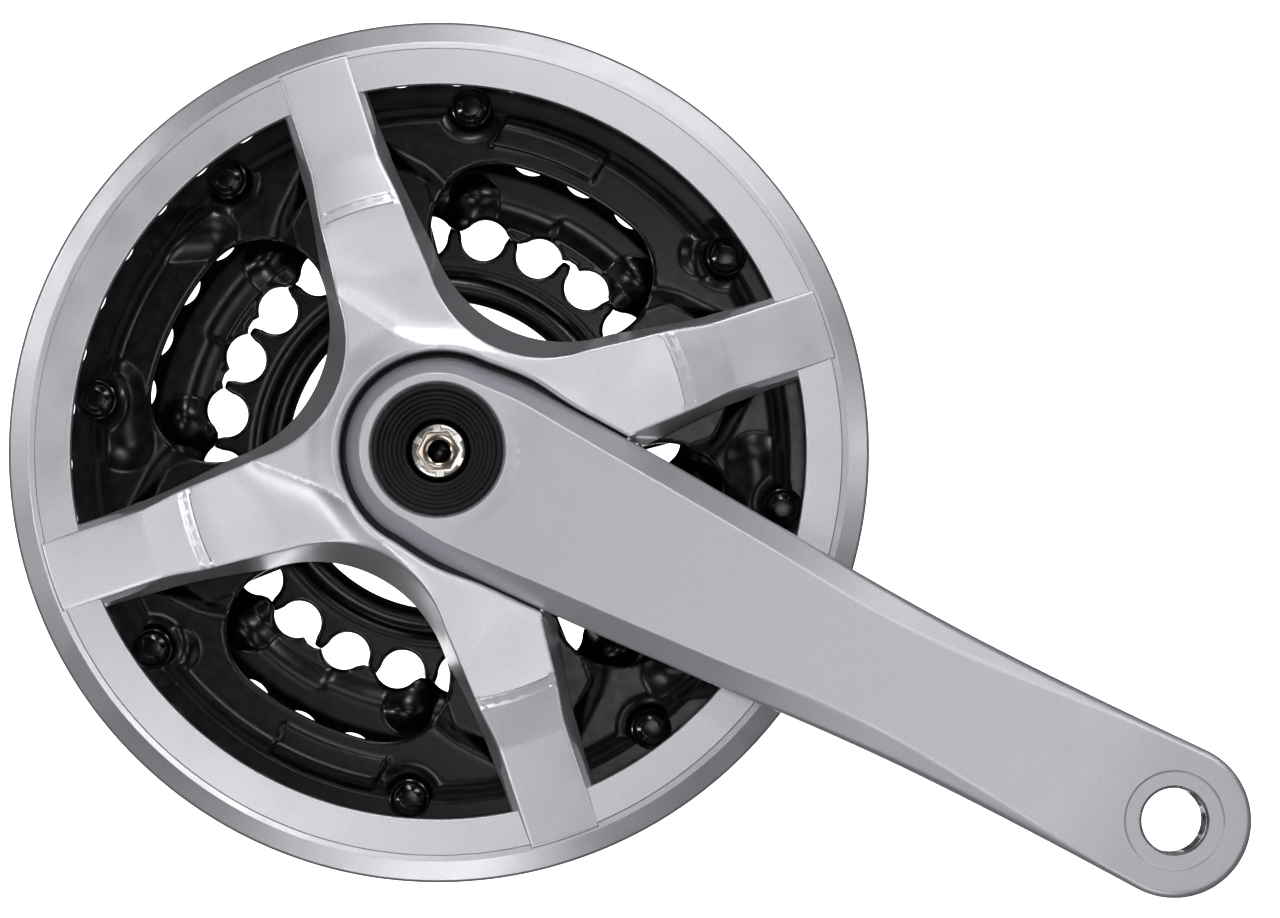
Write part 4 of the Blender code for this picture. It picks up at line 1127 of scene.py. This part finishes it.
def build_washer():
    hole, edge, front, back = 4.4, 9.0, -17.1, -15.8
    profile = [(hole, front), (edge, front), (edge, back), (hole, back)]
    return turned("bolt_washer_ring", fillet(profile, 0.25, closed=True))


def build_cap():
    """Dust cap: a plain outer rim, then fine steps down a funnel to the bolt's head."""
    funnel = [(13.9, -30.55), (13.6, -30.9), (13.0, -30.9), (12.6, -30.35)]
    steps = 5
    radius, y = 12.35, -30.0
    inner, outer = 10.6, 14.1
    for i in range(steps):
        depth = 0.75 + 0.12 * i
        funnel += [(radius, y), (radius - 0.5, y - 0.12), (radius - 0.72, y + depth - 0.1)]
        radius -= 0.95
        y += depth
    funnel += [(radius, y), (7.1, y + 0.1), (6.9, -23.2), (6.9, -20.1)]
    body = [(inner, -20.1), (inner, -27.7), (outer, -27.7), (outer, -30.3)]
    radii = [0.3, 0.25, 0.3, 0.3] + [0.2, 0.2, 0.25] * steps + [0.2, 0.3, 0.2, 0.2] + [0.3] * 4
    profile = fillet(funnel + body, radii, 3, closed=True)
    return turned("dust_cap_moulding", profile, FINE_ROUND, smooth_angle=50.0)


# stage, light and camera

# (direction round the camera's axis, angle off it, width in metres, power) of small soft lights
SPOTS = (
    (215, 45, 0.12, 1.2), (300, 50, 0.12, 1.0), (120, 42, 0.30, 1.6), (70, 42, 0.30, 1.2),
    (30, 55, 0.06, 0.4),
)


def build_stage():
    """A pale floor that curves up into a backdrop, in metres."""
    half_width, depth, floor_z, radius, top_z = 0.65, 2.3, -0.55, 0.5, 0.75
    curve = [(depth - radius + radius * sin(a), floor_z + radius - radius * cos(a))
             for a in np.linspace(0, pi / 2, 24)]
    verts = []
    for y, z in [(0.7, floor_z)] + curve + [(depth, top_z)]:
        verts += [(-half_width, y, z), (half_width, y, z)]
    mesh = bpy.data.meshes.new("studio_sweep")
    mesh.from_pydata(verts, [], [(i, i + 1, i + 3, i + 2) for i in range(0, len(verts) - 2, 2)])
    mesh.shade_smooth()
    material, _, shader = new_material("pale_sweep")
    set_inputs(shader, Base_Color=(0.93, 0.93, 0.93, 1.0), Roughness=0.9,
               Emission_Color=(1.0, 1.0, 1.0, 1.0), Emission_Strength=1.3)
    mesh.materials.append(material)
    add_object("studio_sweep", mesh)


def area_light(name, location, size, power):
    """A rectangular soft light that points at the crankset."""
    light = bpy.data.lights.new(name, 'AREA')
    light.shape = 'RECTANGLE'
    light.size, light.size_y = size
    light.energy = power
    obj = add_object(name, light)
    obj.location = location
    direction = Vector((0.0, -0.02, 0.0)) - Vector(location)
    obj.rotation_euler = direction.to_track_quat('-Z', 'Y').to_euler()


def build_light():
    world = bpy.data.worlds.new("studio")
    world.use_nodes = True
    set_inputs(world.node_tree.nodes["Background"], Color=(0.95, 0.96, 1.0, 1.0), Strength=0.06)
    bpy.context.scene.world = world
    area_light("key", (0.08, -1.5, 0.05), (0.25, 0.25), 0.75)
    area_light("front_top", (-0.18, -1.5, 0.56), (0.5, 0.20), 0.95)
    area_light("front_low", (-0.14, -1.5, -0.56), (0.5, 0.20), 1.8)
    area_light("front_left", (-0.72, -1.05, -0.05), (0.10, 0.16), 0.4)
    area_light("front_right", (0.95, -1.35, 0.0), (0.20, 0.9), 1.5)
    area_light("left_strip", (-1.15, -0.55, 0.0), (0.08, 0.9), 1.4)
    area_light("top_strip", (0.1, -0.5, 1.1), (1.3, 0.10), 1.9)
    area_light("low_strip", (0.20, -0.5, -0.8), (0.5, 0.08), 0.45)
    distance = 1.2
    for direction, off_axis, width, power in SPOTS:
        x, z = polar(distance * sin(radians(off_axis)), direction)
        y = -distance * cos(radians(off_axis))
        area_light(f"spot_{direction}", (x, y, z), (width, 0.05), power)


def build_camera():
    """The photograph's view: almost square on, and rolled so that the arm points down to the right."""
    camera = bpy.data.cameras.new("photo_camera")
    camera.lens = 142.3
    camera.sensor_width = 36.0
    camera.clip_start = 0.01
    obj = add_object("photo_camera", camera)
    roll = radians(26.8)
    forward = Vector((-0.0157, 1.0, 0.0333)).normalized()
    right = forward.cross(Vector((-sin(roll), 0.0, cos(roll)))).normalized()
    up = right.cross(forward)
    axes = Matrix((right, up, -forward)).transposed()
    obj.matrix_world = Matrix.Translation((0.0567, -1.113, -0.0183)) @ axes.to_4x4()
    bpy.context.scene.camera = obj


def place_small_pieces(black, steel):
    """Pins, rivets, spacers and screws, which sit on circles round the spindle."""
    for i, angle in enumerate(PIN_ANGLES, 1):
        pin = shift_pin(f"shift_pin_{i}_turned", polar(PIN_CIRCLE, angle))
        place(pin, f"shift_pin_{i}", "root", "rivet_black", black)
    spacer_profile = fillet([(2.9, -3.7), (4.6, -3.7), (4.6, 1.7), (2.9, 1.7)], 0.3, 3, closed=True)
    for i, angle in enumerate(QUADRANTS, 1):
        outer, inner = polar(RING_RIVET_CIRCLE, angle), polar(INNER_RIVET_CIRCLE, angle)
        rivet = set_rivet(f"ring_rivet_{i}_set", outer, OUTER_Y, -9.7, 4.2)
        place(rivet, f"ring_rivet_{i}", "root", "rivet_black", black)
        rivet = set_rivet(f"inner_ring_rivet_{i}_set", inner, MIDDLE_Y, 4.0, 4.6)
        place(rivet, f"inner_ring_rivet_{i}", "root", "rivet_black", black)
        spacer = turned(f"inner_ring_spacer_{i}_tube", spacer_profile, SMALL_ROUND, inner)
        place(spacer, f"inner_ring_spacer_{i}", "root", "bright_steel", steel)
        screw = guard_screw(f"guard_screw_{i}_driven", polar(SCREW_CIRCLE, angle))
        place(screw, f"guard_screw_{i}", "root", "bright_steel", steel)


def main():
    silver_arm = silver_paint("silver_forging", (0.60, 0.59, 0.635), (0.72, 0.71, 0.755), 0.65, 0.42)
    silver_guard = silver_paint("silver_moulding", (0.68, 0.67, 0.71), (0.81, 0.80, 0.84), 0.75, 0.35)
    ring_black = black_coat("black_coat", 0.23)
    steel = bright_steel("plated_steel", (0.62, 0.60, 0.565), (0.68, 0.66, 0.625))
    machined = bright_steel("machined_aluminium", (0.52, 0.52, 0.53), (0.62, 0.62, 0.63))
    # brown steel for the hex socket's walls: the broached tone, made darker as painted shade in the socket
    socket_tone_and_shade = bright_steel("socket_broached_tone_and_shade", (0.40, 0.34, 0.29), (0.48, 0.42, 0.36))
    # near-black steel for the bolt's deep pilot hole: painted shade in a recess, not a real finish
    pilot_painted_shade = bright_steel("pilot_hole_painted_shade", (0.05, 0.048, 0.045), (0.08, 0.075, 0.07))

    arm = build_arm()
    place(arm, "crank_arm", "root", "arm", silver_arm)
    finish_and_shade_bores(arm, machined, ((CRANK_LENGTH, 7.6, EYE_FACE_Y + 0.3, 0.0), (0.0, 14.3, -27.3, -0.3)))
    place(build_guard(), "chain_guard", "root", "guard", silver_guard)
    place(build_outer_ring(), "outer_chainring", "root", "ring_black", ring_black)
    place(build_middle_ring(), "middle_chainring", "root", "ring_black", ring_black)
    place(build_inner_ring(), "inner_chainring", "root", "ring_black", ring_black)
    bolt = build_bolt()
    place(bolt, "crank_bolt", "bolt", "bright_steel", steel)
    # the hex socket's walls: their broached tone plus painted shade
    finish_and_shade_bores(bolt, socket_tone_and_shade, ((0.0, 4.62, -22.75, -5.0),))
    # painted shade: darkens the inside of the bolt's pilot hole
    finish_and_shade_bores(bolt, pilot_painted_shade, ((0.0, 2.6, -18.35, -5.0),))
    place(build_washer(), "bolt_washer", "cap_carriage", "bright_steel", steel)
    place(build_cap(), "dust_cap", "cap_carriage", "cap_resin", cap_resin("moulded_resin"))
    place_small_pieces(black_coat("black_coat_rivets", 0.18), steel)
    bpy.context.scene.view_settings.view_transform = 'Standard'
    bpy.context.scene.view_settings.look = 'Medium High Contrast'
    build_stage()
    build_light()
    build_camera()


main()
